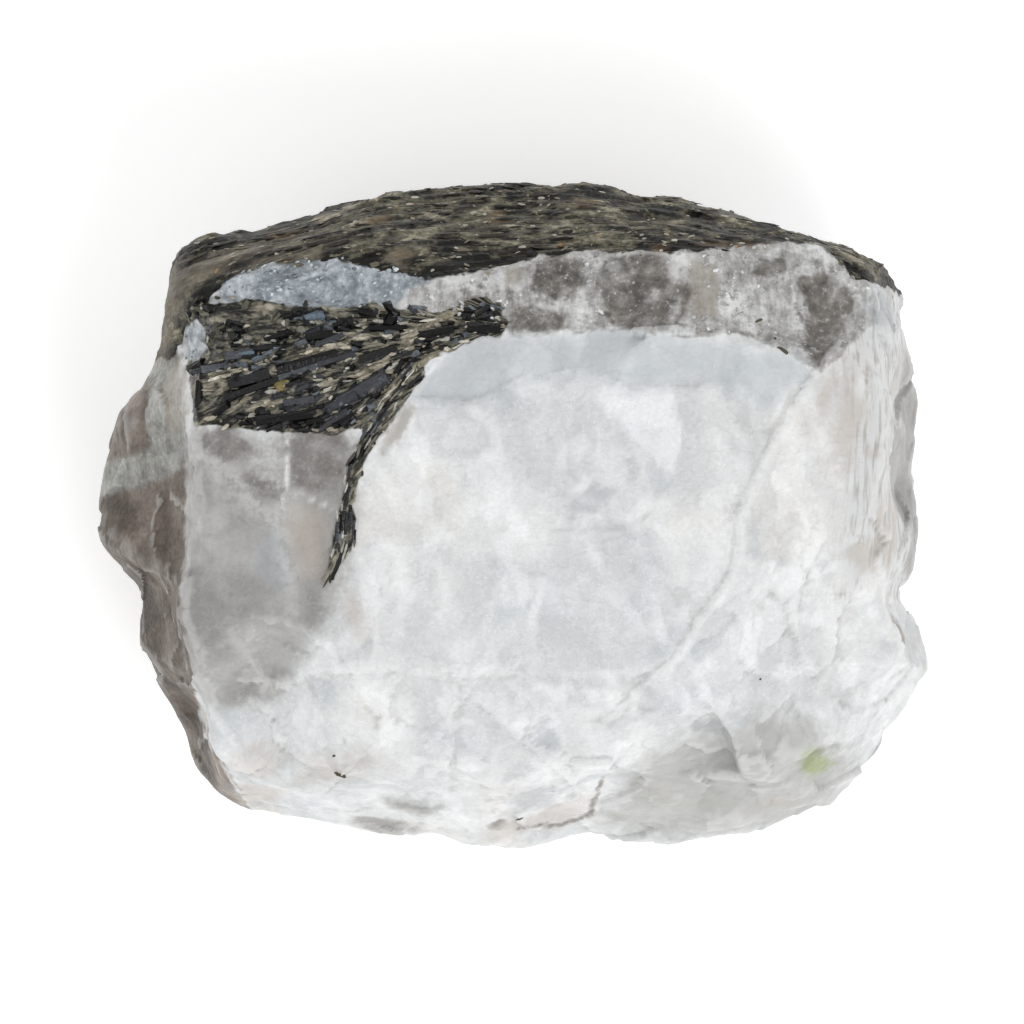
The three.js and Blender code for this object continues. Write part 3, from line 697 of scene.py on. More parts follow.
class Bench:
    """A node tree, with short ways to put nodes in it and wire them."""

    def __init__(self, tree: bpy.types.NodeTree) -> None:
        """Clears the tree.

        Args:
            tree: The tree to work in.
        """
        self.tree = tree
        tree.nodes.clear()

    def feed(self, socket: Socket, value: Value) -> None:
        """Wires a socket into another, or sets its constant value.

        Args:
            socket: The input.
            value: An output socket or a constant.
        """
        if isinstance(value, Socket):
            self.tree.links.new(value, socket)
        else:
            socket.default_value = value

    def node(self, kind: str, inputs: Dict[Union[str, int], Value], **settings: object) -> bpy.types.Node:
        """Adds a node.

        Args:
            kind: The node's type.
            inputs: Values by the input's name or number.
            **settings: The node's own properties.

        Returns:
            The node.
        """
        made = self.tree.nodes.new(kind)
        for name, value in settings.items():
            setattr(made, name, value)
        for key, value in inputs.items():
            self.feed(made.inputs[key], value)
        return made

    def vector(
        self, operation: str, first: Value, second: Value = (0.0, 0.0, 0.0), scale: Value = 1.0
    ) -> Socket:
        """Works on vectors.

        Args:
            operation: What to do.
            first: The first vector.
            second: The second vector.
            scale: The factor of SCALE.

        Returns:
            The vector, or the number for DOT_PRODUCT.
        """
        made = self.node("ShaderNodeVectorMath", {0: first, 1: second, 3: scale}, operation=operation)
        return made.outputs["Value" if operation == "DOT_PRODUCT" else "Vector"]

    def math(self, operation: str, first: Value, second: Value = 0.0, third: Value = 0.0) -> Socket:
        """Works on numbers and returns the result."""
        return self.node("ShaderNodeMath", {0: first, 1: second, 2: third}, operation=operation).outputs[0]


class Surface(Bench):
    """A material's node tree, and the noises and mixes that the finishes are made of."""

    def __init__(self, name: str) -> None:
        """Makes a material of that name with a Principled shader.

        Args:
            name: The material's name.
        """
        self.material = bpy.data.materials.new(name)
        self.material.use_nodes = True
        super().__init__(self.material.node_tree)
        self.shader = self.node("ShaderNodeBsdfPrincipled", {})
        output = self.node("ShaderNodeOutputMaterial", {})
        self.tree.links.new(self.shader.outputs["BSDF"], output.inputs["Surface"])

    @cached_property
    def place(self) -> Socket:
        """The place in millimetres."""
        return self.vector("SCALE", self.node("ShaderNodeTexCoord", {}).outputs["Object"], scale=1.0 / MM)

    @cached_property
    def cloud(self) -> Socket:
        """Soft clouds of two or three millimetres."""
        return self.attribute(Trace.CLOUD)

    @cached_property
    def broad(self) -> Socket:
        """Soft clouds of six millimetres."""
        return self.attribute(Trace.BROAD)

    @cached_property
    def grainy(self) -> Socket:
        """Clouds of a millimetre with crumbs in them."""
        return self.noise(self.place, 1.0, 3.0, 0.7)

    @cached_property
    def sugar(self) -> Socket:
        """Crumbs of a quarter of a millimetre."""
        return self.noise(self.place, 0.25, 2.0, 0.8)

    @cached_property
    def border(self) -> Socket:
        """How far the minerals' borders wander, from -0.5 to 0.5."""
        return self.math("SUBTRACT", self.noise(self.place, 0.9, 2.0, 0.68), 0.5)

    @cached_property
    def streaks(self) -> Socket:
        """Streaks along the grain of the schist and of the wedge."""
        return self.noise(self.attribute(Trace.GRAIN, "Vector"), 1.0, 3.0, 0.72)

    @cached_property
    def fibres(self) -> Socket:
        """Fibres along Y."""
        return self.noise(self.stretch(self.place, (0.34, 3.2, 0.5), (0.0, 0.0, 3.0)), 1.0, 2.0, 0.65)

    def total(self, parts: Sequence[Tuple[Value, float]]) -> Socket:
        """Adds up numbers, each times its factor."""
        made = self.math("MULTIPLY", *parts[0])
        for value, factor in parts[1:]:
            made = self.math("MULTIPLY_ADD", value, factor, made)
        return made

    def attribute(self, name: Union[Zone, Trace], output: str = "Fac") -> Socket:
        """Reads an attribute of the mesh, as a number or as a vector."""
        return self.node("ShaderNodeAttribute", {}, attribute_name=name.value).outputs[output]

    def step(self, value: Value, low: float, high: float, start: float = 0.0, end: float = 1.0) -> Socket:
        """Steps softly from start at low to end at high.

        Args:
            value: The number to step.
            low: Where the step starts.
            high: Where it ends.
            start: The result below the step.
            end: The result above it.

        Returns:
            The stepped number.
        """
        limits = {"Value": value, "From Min": low, "From Max": high, "To Min": start, "To Max": end}
        return self.node("ShaderNodeMapRange", limits, interpolation_type="SMOOTHSTEP").outputs["Result"]

    def mix(self, share: Value, low: Union[Colour, Socket], high: Union[Colour, Socket]) -> Socket:
        """Mixes two colours.

        Args:
            share: 0 for the first, 1 for the second.
            low: The first colour, as a screen colour or a socket.
            high: The second.

        Returns:
            The mixed colour.
        """
        first, second = (part if isinstance(part, Socket) else linear(part) for part in (low, high))
        return self.node("ShaderNodeMix", {0: share, 6: first, 7: second}, data_type="RGBA").outputs[2]

    def blend(self, share: Value, low: Value, high: Value) -> Socket:
        """Mixes two numbers, 0 for the first and 1 for the second."""
        return self.node("ShaderNodeMix", {0: share, 2: low, 3: high}, data_type="FLOAT").outputs[0]

    def shade(self, colour: Socket, value: Value, amount: float) -> Socket:
        """Makes a colour lighter where the value is over one half and darker where it is under it.

        Args:
            colour: The colour.
            value: A number from 0 to 1.
            amount: The most that the colour changes, as a share of it.

        Returns:
            The colour.
        """
        factor = self.step(value, 0.2, 0.8, 1.0 - amount, 1.0 + amount)
        grey = self.node("ShaderNodeCombineXYZ", {0: factor, 1: factor, 2: factor}).outputs[0]
        return self.vector("MULTIPLY", colour, grey)

    def stretch(self, place: Value, sizes: Place, turn: Place) -> Socket:
        """Turns a place and divides it by sizes, so that a noise in it is drawn out.

        Args:
            place: The place in millimetres.
            sizes: The length of the noise along each axis.
            turn: Degrees about each axis.

        Returns:
            The place to give to a noise of size 1.
        """
        angles = tuple(math.radians(part) for part in turn)
        turned = self.node("ShaderNodeMapping", {"Vector": place, "Rotation": angles}).outputs["Vector"]
        return self.vector("DIVIDE", turned, sizes)

    def noise(self, place: Value, size: float, detail: float, rough: float) -> Socket:
        """A cloudy noise.

        Args:
            place: Where to read it.
            size: Its grain, in the units of the place.
            detail: How many finer layers it has.
            rough: How strong they are.

        Returns:
            A number from 0 to 1.
        """
        inputs = {"Vector": place, "Scale": 1.0 / size, "Detail": detail, "Roughness": rough}
        return self.node("ShaderNodeTexNoise", inputs).outputs[0]

    @cached_property
    def facets(self) -> Socket:
        """The height of small flat facets, each leaning its own way, in millimetres for a slope of 1."""
        cell = self.node("ShaderNodeTexVoronoi", {"Vector": self.place, "Scale": 1.0 / FACET})
        lean = self.vector("SUBTRACT", cell.outputs["Color"], (0.5, 0.5, 0.5))
        return self.vector("DOT_PRODUCT", lean, self.vector("SUBTRACT", self.place, cell.outputs["Position"]))

    def zone(self, zone: Zone, ragged: float, soft: float = 0.12, most: float = 1.0) -> Socket:
        """How much of a place belongs to a zone, with a ragged border.

        Args:
            zone: The zone.
            ragged: How far its border wanders, in millimetres.
            soft: Half the width of the border.
            most: The share in the middle of the zone.

        Returns:
            A number from 0 to the most.
        """
        depth = self.math("MULTIPLY_ADD", self.border, 2.0 * ragged, self.attribute(zone))
        return self.step(depth, -soft, soft, 0.0, most)

    def ramp(self, value: Value, stops: Stops) -> Socket:
        """Turns a number into a colour.

        Args:
            value: The number.
            stops: Places of 0 to 1 with the screen colour there.

        Returns:
            The colour.
        """
        made = self.node("ShaderNodeValToRGB", {"Fac": value})
        row = made.color_ramp.elements
        for index, (place, colour) in enumerate(stops):
            element = row[index] if index < 2 else row.new(place)
            element.position = place
            element.color = linear(colour)
        return made.outputs["Color"]

    def bumped(self, height: Socket, strength: float) -> Socket:
        """Turns a height in millimetres into the shader's normal."""
        bump = self.node("ShaderNodeBump", {"Height": height, "Distance": MM, "Strength": strength})
        return bump.outputs["Normal"]

    def dressed(self, inputs: Dict[str, Value]) -> bpy.types.Material:
        """Feeds the Principled shader.

        Args:
            inputs: Values by the shader's input.

        Returns:
            The finished material.
        """
        for name, value in inputs.items():
            self.feed(self.shader.inputs[name], value)
        return self.material


@dataclass
class Look:
    """What a mineral gives to a surface: its colour and its roughness."""

    colour: Socket
    roughness: Value


# ---------------------------------------------------------------- finishes


@dataclass(frozen=True)
class FeldsparFinish:
    """Milky feldspar: cloudy white with grey-blue depths, white bruises, brushed cleavage and fine glints."""

    milk: Colour = (226, 227, 227)
    cloud: Colour = (213, 215, 216)
    depth: Colour = (192, 197, 200)
    warm: Colour = (219, 216, 211)
    bruise: Colour = (240, 241, 242)

    def look(self, surface: Surface) -> Look:
        """Lays out the finish.

        Args:
            surface: The material to work in.

        Returns:
            The mineral's look.
        """
        broad, deep = surface.broad, surface.cloud
        wisps, plates = surface.attribute(Trace.WISPS), surface.attribute(Trace.PLATES)
        colour = surface.mix(surface.step(broad, 0.42, 0.62), self.milk, self.cloud)
        colour = surface.mix(surface.step(deep, 0.5, 0.74, 0.0, 0.6), colour, self.depth)
        colour = surface.mix(surface.step(broad, 0.45, 0.3, 0.0, 0.5), colour, self.warm)
        colour = surface.mix(surface.step(wisps, 0.5, 0.72, 0.0, 0.6), colour, self.bruise)
        crack = surface.math("ABSOLUTE", surface.math("SUBTRACT", surface.grainy, 0.5))
        colour = surface.mix(surface.step(crack, 0.016, 0.0, 0.0, 0.4), colour, self.bruise)
        colour = surface.shade(surface.shade(colour, plates, 0.06), surface.sugar, 0.06)
        return Look(colour, surface.step(deep, 0.3, 0.7, 0.5, 0.36))


@dataclass(frozen=True)
class HazeFinish:
    """Grey translucent feldspar, with smoky depths and pale healed cracks."""

    grey: Colour = (158, 156, 154)
    dark: Colour = (143, 141, 138)
    light: Colour = (176, 175, 173)

    def look(self, surface: Surface) -> Look:
        """Lays out the finish.

        Args:
            surface: The material to work in.

        Returns:
            The mineral's look.
        """
        colour = surface.ramp(surface.cloud, ((0.34, self.dark), (0.5, self.grey), (0.68, self.light)))
        vein = surface.math("ABSOLUTE", surface.math("SUBTRACT", surface.grainy, 0.5))
        colour = surface.mix(surface.step(vein, 0.025, 0.0, 0.0, 0.22), colour, self.light)
        colour = surface.shade(colour, surface.sugar, 0.08)
        return Look(colour, 0.38)


@dataclass(frozen=True)
class SchistFinish:
    """Mica schist: thin streaks of black, brown-grey and beige along the leaves, with rusty specks and a
    painted shadow along the crust's edge.
    """

    stops: Stops = (
        (0.38, (14, 13, 10)), (0.44, (42, 39, 32)), (0.5, (78, 75, 63)), (0.6, (105, 101, 85)),
        (0.74, (164, 157, 138)),
    )
    rust: Colour = (126, 100, 72)

    def look(self, surface: Surface) -> Look:
        """Lays out the finish.

        Args:
            surface: The material to work in.

        Returns:
            The mineral's look.
        """
        broad = surface.math("SUBTRACT", surface.cloud, 0.5)
        # The schist is darkened near the crust's edge: a painted shadow.
        painted_edge_shadow = surface.step(surface.attribute(Zone.CRUST), 0.1, 0.9, -0.1, 0.0)
        crumbs = surface.math("SUBTRACT", surface.grainy, 0.5)
        value = surface.total(((surface.streaks, 1.0), (broad, 0.45), (crumbs, 0.55), (painted_edge_shadow, 1.0)))
        colour = surface.ramp(value, self.stops)
        spots = surface.step(surface.grainy, 0.62, 0.68)
        rusty = surface.math("MULTIPLY", spots, surface.step(broad, 0.05, 0.12))
        colour = surface.mix(surface.math("MULTIPLY", rusty, 0.6), colour, self.rust)
        colour = surface.shade(colour, surface.sugar, 0.3)
        return Look(colour, surface.step(surface.streaks, 0.4, 0.7, 0.5, 0.75))


@dataclass(frozen=True)
class SchorlFinish:
    """The ground of the wedge: black schorl with painted blue-grey glints and beige feldspar between the
    blades.
    """

    stops: Stops = (
        (0.38, (12, 12, 11)), (0.45, (38, 38, 35)), (0.51, (88, 86, 76)), (0.6, (146, 140, 124)),
        (0.74, (196, 190, 174)),
    )
    painted_glint: Colour = (112, 124, 138)

    def look(self, surface: Surface) -> Look:
        """Lays out the finish.

        Args:
            surface: The material to work in.

        Returns:
            The mineral's look.
        """
        colour = surface.ramp(surface.streaks, self.stops)
        # Blue-grey patches on the schorl that stand in for glints: painted highlight.
        colour = surface.mix(surface.step(surface.grainy, 0.62, 0.7, 0.0, 0.5), colour, self.painted_glint)
        return Look(colour, surface.step(surface.streaks, 0.5, 0.6, 0.24, 0.55))


@dataclass(frozen=True)
class QuartzFinish:
    """Quartz: a glassy, cloudy grain that may be sugary with white flecks, or drawn out in fibres."""

    dark: Colour
    middle: Colour
    light: Colour
    flecks: float
    fibrous: float = 0.0
    white: Colour = (232, 233, 233)

    def look(self, surface: Surface) -> Look:
        """Lays out the finish.

        Args:
            surface: The material to work in.

        Returns:
            The mineral's look.
        """
        drawn = surface.blend(self.fibrous, surface.grainy, surface.fibres)
        colour = surface.ramp(drawn, ((0.34, self.dark), (0.5, self.middle), (0.66, self.light)))
        colour = surface.mix(surface.step(surface.sugar, 0.6, 0.74, 0.0, self.flecks), colour, self.white)
        dark = surface.step(surface.sugar, 0.42, 0.3, 0.0, 0.5 * self.flecks)
        colour = surface.mix(dark, colour, self.dark)
        return Look(colour, 0.28)


@dataclass(frozen=True)
class FlankFinish:
    """The weathered left side: brown-grey, smooth, with paler films and dark stains."""

    brown: Colour = (103, 93, 83)
    dark: Colour = (74, 65, 57)
    film: Colour = (130, 121, 111)

    def look(self, surface: Surface) -> Look:
        """Lays out the finish.

        Args:
            surface: The material to work in.

        Returns:
            The mineral's look.
        """
        clouds = surface.total(((surface.cloud, 0.6), (surface.grainy, 0.4)))
        colour = surface.ramp(clouds, ((0.36, self.dark), (0.5, self.brown), (0.66, self.film)))
        colour = surface.shade(colour, surface.sugar, 0.14)
        return Look(colour, 0.5)


@dataclass(frozen=True)
class FibreFinish:
    """The right side: pale feldspar drawn out in fibres along Y, with grey and beige streaks."""

    light: Colour = (214, 215, 215)
    grey: Colour = (176, 174, 171)
    beige: Colour = (184, 174, 162)

    def look(self, surface: Surface) -> Look:
        """Lays out the finish.

        Args:
            surface: The material to work in.

        Returns:
            The mineral's look.
        """
        colour = surface.ramp(surface.fibres, ((0.34, self.grey), (0.52, self.light), (0.8, self.light)))
        colour = surface.mix(surface.step(surface.cloud, 0.56, 0.72, 0.0, 0.5), colour, self.beige)
        return Look(colour, 0.42)


@dataclass(frozen=True)
class Stain:
    """A tint over a zone: how ragged and how soft its border is, and how strong it is in the middle."""

    zone: Zone
    colour: Colour
    ragged: float
    soft: float
    most: float


@dataclass(frozen=True)
class StoneFinish:
    """The whole stone's finish: each mineral in its zone, stains, patches of painted shade, pale edges that
    are partly bruising and partly painted highlight, and painted shade in the hollows.
    """

    feldspar: FeldsparFinish = FeldsparFinish()
    haze: HazeFinish = HazeFinish()
    smoke: QuartzFinish = QuartzFinish((116, 112, 109), (134, 131, 128), (154, 152, 150), 0.15)
    brow: QuartzFinish = QuartzFinish((122, 119, 116), (172, 171, 169), (214, 214, 214), 0.6, 0.4)
    quartz: QuartzFinish = QuartzFinish((80, 77, 73), (112, 108, 103), (150, 147, 143), 0.5)
    lens: QuartzFinish = QuartzFinish((120, 128, 135), (160, 167, 173), (198, 204, 209), 0.55)
    stripe: QuartzFinish = QuartzFinish((116, 115, 110), (140, 140, 135), (166, 165, 159), 0.2)
    vein: QuartzFinish = QuartzFinish((96, 90, 76), (146, 139, 122), (196, 189, 172), 0.5)
    flank: FlankFinish = FlankFinish()
    fibres: FibreFinish = FibreFinish()
    schist: SchistFinish = SchistFinish()
    schorl: SchorlFinish = SchorlFinish()
    stains: Tuple[Stain, ...] = (
        Stain(Zone.BLUE, (184, 191, 196), 0.6, 0.7, 0.55),
        # The grey tint is painted shade over the lower right.
        Stain(Zone.GREY_SHADE, (172, 172, 168), 0.9, 1.2, 0.75),
        Stain(Zone.ROSE, (190, 178, 167), 0.8, 0.7, 0.5),
        Stain(Zone.TAN, (160, 153, 142), 0.5, 0.2, 0.65),
        # Bluish-grey patches of painted shade.
        Stain(Zone.SHADE_PATCH, (168, 172, 175), 0.7, 0.4, 0.6),
        Stain(Zone.MOSS, (158, 168, 118), 0.7, 0.35, 0.8),
        # Grime, with one line of painted shadow along the ledge of the white face.
        Stain(Zone.DIRT_AND_SHADOW, (96, 84, 72), 0.25, 0.12, 0.75),
    )
    late_stains: Tuple[Stain, ...] = (
        Stain(Zone.BUFF, (130, 121, 107), 0.6, 0.4, 0.5),
        Stain(Zone.RUST, (118, 94, 68), 0.35, 0.2, 0.45),
    )
    pale: Colour = (242, 243, 243)
    # The colour of the painted shade in the hollows.
    painted_hollow_shade: Colour = (150, 145, 138)
    gloss: float = 0.3
    light_reach: Place = (1.0, 0.92, 0.85)
    light_depth: float = 0.9
    bump: float = 0.8

    def over(self, surface: Surface, mask: Socket, low: Look, high: Look) -> Look:
        """Lays one mineral over another.

        Args:
            surface: The material to work in.
            mask: 0 for the lower look, 1 for the upper.
            low: The lower look.
            high: The upper look.

        Returns:
            The mixed look.
        """
        colour = surface.mix(mask, low.colour, high.colour)
        return Look(colour, surface.blend(mask, low.roughness, high.roughness))

    def stained(self, surface: Surface, colour: Socket, stains: Sequence[Stain]) -> Socket:
        """Tints a colour with stains and patches of painted shade.

        Args:
            surface: The material to work in.
            colour: The colour below.
            stains: The stains and patches of painted shade, the lowest first.

        Returns:
            The stained colour.
        """
        for stain in stains:
            share = surface.zone(stain.zone, stain.ragged, stain.soft, stain.most)
            colour = surface.mix(share, colour, stain.colour)
        return colour

    def relief(self, surface: Surface) -> Socket:
        """The fine relief: facets, crumbs and streaks, each as high as the skin says.

        Args:
            surface: The material to work in.

        Returns:
            Millimetres of height.
        """
        bite = surface.node("ShaderNodeSeparateXYZ", {0: surface.attribute(Trace.BITE, "Vector")}).outputs
        crumbs = surface.noise(surface.place, 0.24, 0.0, 0.5)
        streaks = surface.noise(surface.attribute(Trace.GRAIN, "Vector"), 0.7, 1.0, 0.7)
        height = surface.math("MULTIPLY", surface.facets, bite[0])
        height = surface.math("MULTIPLY_ADD", crumbs, bite[1], height)
        return surface.math("MULTIPLY_ADD", streaks, bite[2], height)

    def material(self) -> bpy.types.Material:
        """Makes the material.

        Returns:
            The material of the stone's skin.
        """
        surface = Surface("rough_moonstone")
        look = self.feldspar.look(surface)
        look = self.over(surface, surface.zone(Zone.FIBRES, 0.9, 0.9), look, self.fibres.look(surface))
        look = self.over(surface, surface.zone(Zone.HAZE, 0.8, 0.8, 0.95), look, self.haze.look(surface))
        look = self.over(surface, surface.zone(Zone.SMOKE, 0.5, 0.3), look, self.smoke.look(surface))
        look = self.over(surface, surface.zone(Zone.BROW, 0.35), look, self.brow.look(surface))
        look = self.over(surface, surface.zone(Zone.QUARTZ, 0.4, 0.18, 0.95), look, self.quartz.look(surface))
        flank = surface.zone(Zone.FLANK, 0.25)
        look = self.over(surface, flank, look, self.flank.look(surface))
        stripe = surface.math("MULTIPLY", surface.zone(Zone.STRIPE, 0.4, 0.3), flank)
        look = self.over(surface, stripe, look, self.stripe.look(surface))
        look.colour = self.stained(surface, look.colour, self.stains)
        pale = surface.math("MULTIPLY", surface.attribute(Trace.PALE), surface.step(surface.grainy, 0.3, 0.6))
        look.colour = surface.mix(pale, look.colour, self.pale)
        # Convex edges are whitened, partly as bruising and partly as painted highlight, and the hollows are
        # darkened as painted shade.
        edge = surface.attribute(Trace.EDGE)
        look.colour = surface.mix(surface.step(edge, 0.15, 0.9, 0.0, 0.22), look.colour, self.pale)
        look.colour = surface.mix(surface.step(edge, -0.15, -1.0, 0.0, 0.2), look.colour, self.painted_hollow_shade)
        look = self.over(surface, surface.zone(Zone.LENS, 0.45, 0.16), look, self.lens.look(surface))
        look = self.over(surface, surface.zone(Zone.CRUST, 0.35, 0.08), look, self.schist.look(surface))
        look.colour = self.stained(surface, look.colour, self.late_stains)
        look = self.over(surface, surface.zone(Zone.SPRAY, 0.22, 0.06), look, self.schorl.look(surface))
        look = self.over(surface, surface.zone(Zone.VEIN, 0.12, 0.06), look, self.vein.look(surface))
        return surface.dressed({
            "Base Color": look.colour,
            "Roughness": look.roughness,
            "Specular IOR Level": self.gloss,
            "Subsurface Weight": surface.attribute(Trace.GLOW),
            "Subsurface Radius": self.light_reach,
            "Subsurface Scale": self.light_depth * MM,
            "Normal": surface.bumped(self.relief(surface), self.bump),
        })


@dataclass(frozen=True)
class CrystalFinish:
    """One kind of small crystal, whose tone differs from one to the next."""

    name: str
    stops: Stops
    roughness: float
    gloss: float = 0.3
    relief: float = 0.05

    def material(self) -> bpy.types.Material:
        """Makes the material.

        Returns:
            The material of this kind of crystal.
        """
        surface = Surface(self.name)
        colour = surface.ramp(surface.attribute(Trace.TONE), self.stops)
        height = surface.math("MULTIPLY", surface.sugar, self.relief)
        return surface.dressed({
            "Base Color": surface.shade(colour, surface.sugar, 0.3),
            "Roughness": surface.step(surface.sugar, 0.3, 0.7, self.roughness - 0.06, self.roughness + 0.1),
            "Specular IOR Level": self.gloss,
            "Normal": surface.bumped(height, 1.0),
        })


# ---------------------------------------------------------------- the stone


def add_object(name: str, data: Union[bpy.types.Mesh, bpy.types.Light, bpy.types.Camera]) -> bpy.types.Object:
    """Puts a new object into the scene.

    Args:
        name: Its name.
        data: What it shows.

    Returns:
        The object.
    """
    made = bpy.data.objects.new(name, data)
    bpy.context.scene.collection.objects.link(made)
    return made


def settle(piece: bpy.types.Object) -> None:
    """Turns a piece with modifiers into a plain mesh.

    Args:
        piece: The object. Its modifiers are applied and removed.
    """
    graph = bpy.context.evaluated_depsgraph_get()
    graph.update()
    final = piece.evaluated_get(graph)
    made = bpy.data.meshes.new_from_object(final, preserve_all_data_layers=True, depsgraph=graph)
    made.name = piece.name
    piece.modifiers.clear()
    piece.data = made


@dataclass
class Stone:
    """The broken stone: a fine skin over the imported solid, with each mineral's own way of breaking."""

    node: str = "moonstone"
    name: str = "broken_stone"
    voxel: float = 0.26
    soften: int = 7
    bowls: float = 4.2
    bowl_depth: float = 0.36
    faces: float = 3.4
    face_rise: float = 0.05
    face_tilt: float = 0.08
    chips: float = 1.9
    chip_depth: float = 0.09
    wear: int = 26
    calm: float = 0.12
    leaf: float = 0.42
    leaf_rise: float = 0.75
    swellings: Tuple[Tuple[float, float, float, float, float], ...] = (
        (-18.4, 12.6, -0.7, 0.5, 2.2), (-16.6, 13.9, -0.1, 0.6, 1.8), (-18.9, 7.5, -0.95, 0.0, 3.0),
        (-20.6, 4.8, -0.5, 0.3, 1.8), (-21.4, -0.8, -0.7, 0.0, 2.2), (-19.2, -6.2, -0.5, 0.0, 2.4),
        (-16.4, -13.4, -1.1, 0.0, 2.6), (-6.5, 16.6, 0.0, 0.45, 3.5), (4.2, 17.2, 0.0, 0.45, 1.8),
        (9.8, 16.1, 0.1, 0.7, 2.2), (14.5, 14.9, 0.0, 0.25, 2.0), (19.2, 12.8, 0.4, 0.8, 1.8),
        (0.5, 17.8, 0.0, -0.35, 1.2), (20.9, 5.0, 0.45, 0.0, 2.2), (21.2, -4.3, -0.5, 0.0, 1.3),
        (21.4, -9.2, 0.5, 0.0, 2.8), (19.0, -13.0, 0.3, 0.0, 1.6), (17.9, -15.6, -0.6, 0.3, 1.3),
    )
    bites: Tuple[Tuple[Zone, Place, float], ...] = (
        (Zone.FIBRES, (0.2, 0.03, 0.0), 0.2), (Zone.HAZE, (0.18, 0.03, 0.0), 0.2),
        (Zone.SMOKE, (0.16, 0.03, 0.0), 0.1), (Zone.BROW, (0.32, 0.1, 0.0), 0.1),
        (Zone.QUARTZ, (0.26, 0.06, 0.0), 0.05), (Zone.FLANK, (0.16, 0.08, 0.0), 0.1),
        (Zone.LENS, (0.3, 0.1, 0.0), 0.1), (Zone.CRUST, (0.0, 0.06, 0.35), 0.0),
        (Zone.SPRAY, (0.0, 0.06, 0.4), 0.0), (Zone.VEIN, (0.1, 0.1, 0.1), 0.0),
    )
    leaf_streak: Place = (1.9, 0.54, 1.69)
    blade_streak: Place = (1.6, 0.36, 1.0)
    wide_plates: Place = (2.6, 3.6, 2.6)
    small_plates: Place = (1.1, 1.5, 1.1)
    fibre_size: Place = (0.6, 4.5, 0.9)
    wobble_size: Place = (6.0, 3.0, 4.0)
    ridge_size: Place = (2.4, 0.55, 1.8)
    ray_size: Place = (3.0, 0.6, 2.0)
    wisp_size: Place = (1.5, 3.4, 2.0)
    clean_from: Tuple[float, float] = (-10.0, -7.5)
    sharpest: float = 0.09
    minerals: MineralMap = MineralMap()
    finish: StoneFinish = field(default_factory=StoneFinish)

    def skin(self) -> bpy.types.Object:
        """Copies the solid, closes it in an even skin and softens the facets.

        Returns:
            The new object.
        """
        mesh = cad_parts[self.node].data.copy()
        mesh.materials.clear()
        work = bmesh.new()
        work.from_mesh(mesh)
        bmesh.ops.remove_doubles(work, verts=work.verts, dist=0.001 * MM)
        work.to_mesh(mesh)
        work.free()
        piece = add_object(self.name, mesh)
        remesh = piece.modifiers.new("even_skin", "REMESH")
        remesh.mode = "VOXEL"
        remesh.voxel_size = self.voxel * MM
        remesh.use_smooth_shade = True
        smooth = piece.modifiers.new("soft_facets", "SMOOTH")
        smooth.factor = 0.5
        smooth.iterations = self.soften
        settle(piece)
        self.drop_crumbs(piece.data)
        return piece

    def drop_crumbs(self, mesh: bpy.types.Mesh) -> None:
        """Deletes the loose crumbs that the even skin leaves beside the stone.

        Args:
            mesh: The skin. Only its largest connected part stays.
        """
        work = bmesh.new()
        work.from_mesh(mesh)
        unseen, parts = set(work.verts), []
        while unseen:
            part, front = set(), [next(iter(unseen))]
            while front:
                vert = front.pop()
                if vert not in part:
                    part.add(vert)
                    front.extend(edge.other_vert(vert) for edge in vert.link_edges)
            unseen -= part
            parts.append(part)
        largest = max(parts, key=len)
        loose = [vert for vert in work.verts if vert not in largest]
        bmesh.ops.delete(work, geom=loose, context="VERTS")
        LOG.info("skin: %d loose vertices dropped", len(loose))
        work.to_mesh(mesh)
        work.free()

    def swollen(self, places: np.ndarray) -> np.ndarray:
        """Places pushed out or in where the outline is fuller or leaner than the solid's."""
        moved = places.copy()
        for x, y, push_x, push_y, reach in self.swellings:
            share = np.exp(-np.sum((places[:, :2] - np.array((x, y))) ** 2, axis=1) / reach**2)
            moved[:, 0] += push_x * share
            moved[:, 1] += push_y * share
        return moved

    def read(self, mesh: bpy.types.Mesh) -> Tuple[np.ndarray, np.ndarray]:
        """Reads a mesh.

        Args:
            mesh: The mesh.

        Returns:
            The places in millimetres, and the normals.
        """
        places = np.zeros(3 * len(mesh.vertices))
        normals = np.zeros(3 * len(mesh.vertices))
        mesh.vertices.foreach_get("co", places)
        mesh.vertices.foreach_get("normal", normals)
        return places.reshape(-1, 3) / MM, normals.reshape(-1, 3)

    def write(self, mesh: bpy.types.Mesh, places: np.ndarray) -> None:
        """Moves a mesh's vertices to places in millimetres."""
        mesh.vertices.foreach_set("co", (places * MM).astype(np.float32).ravel())
        mesh.update()

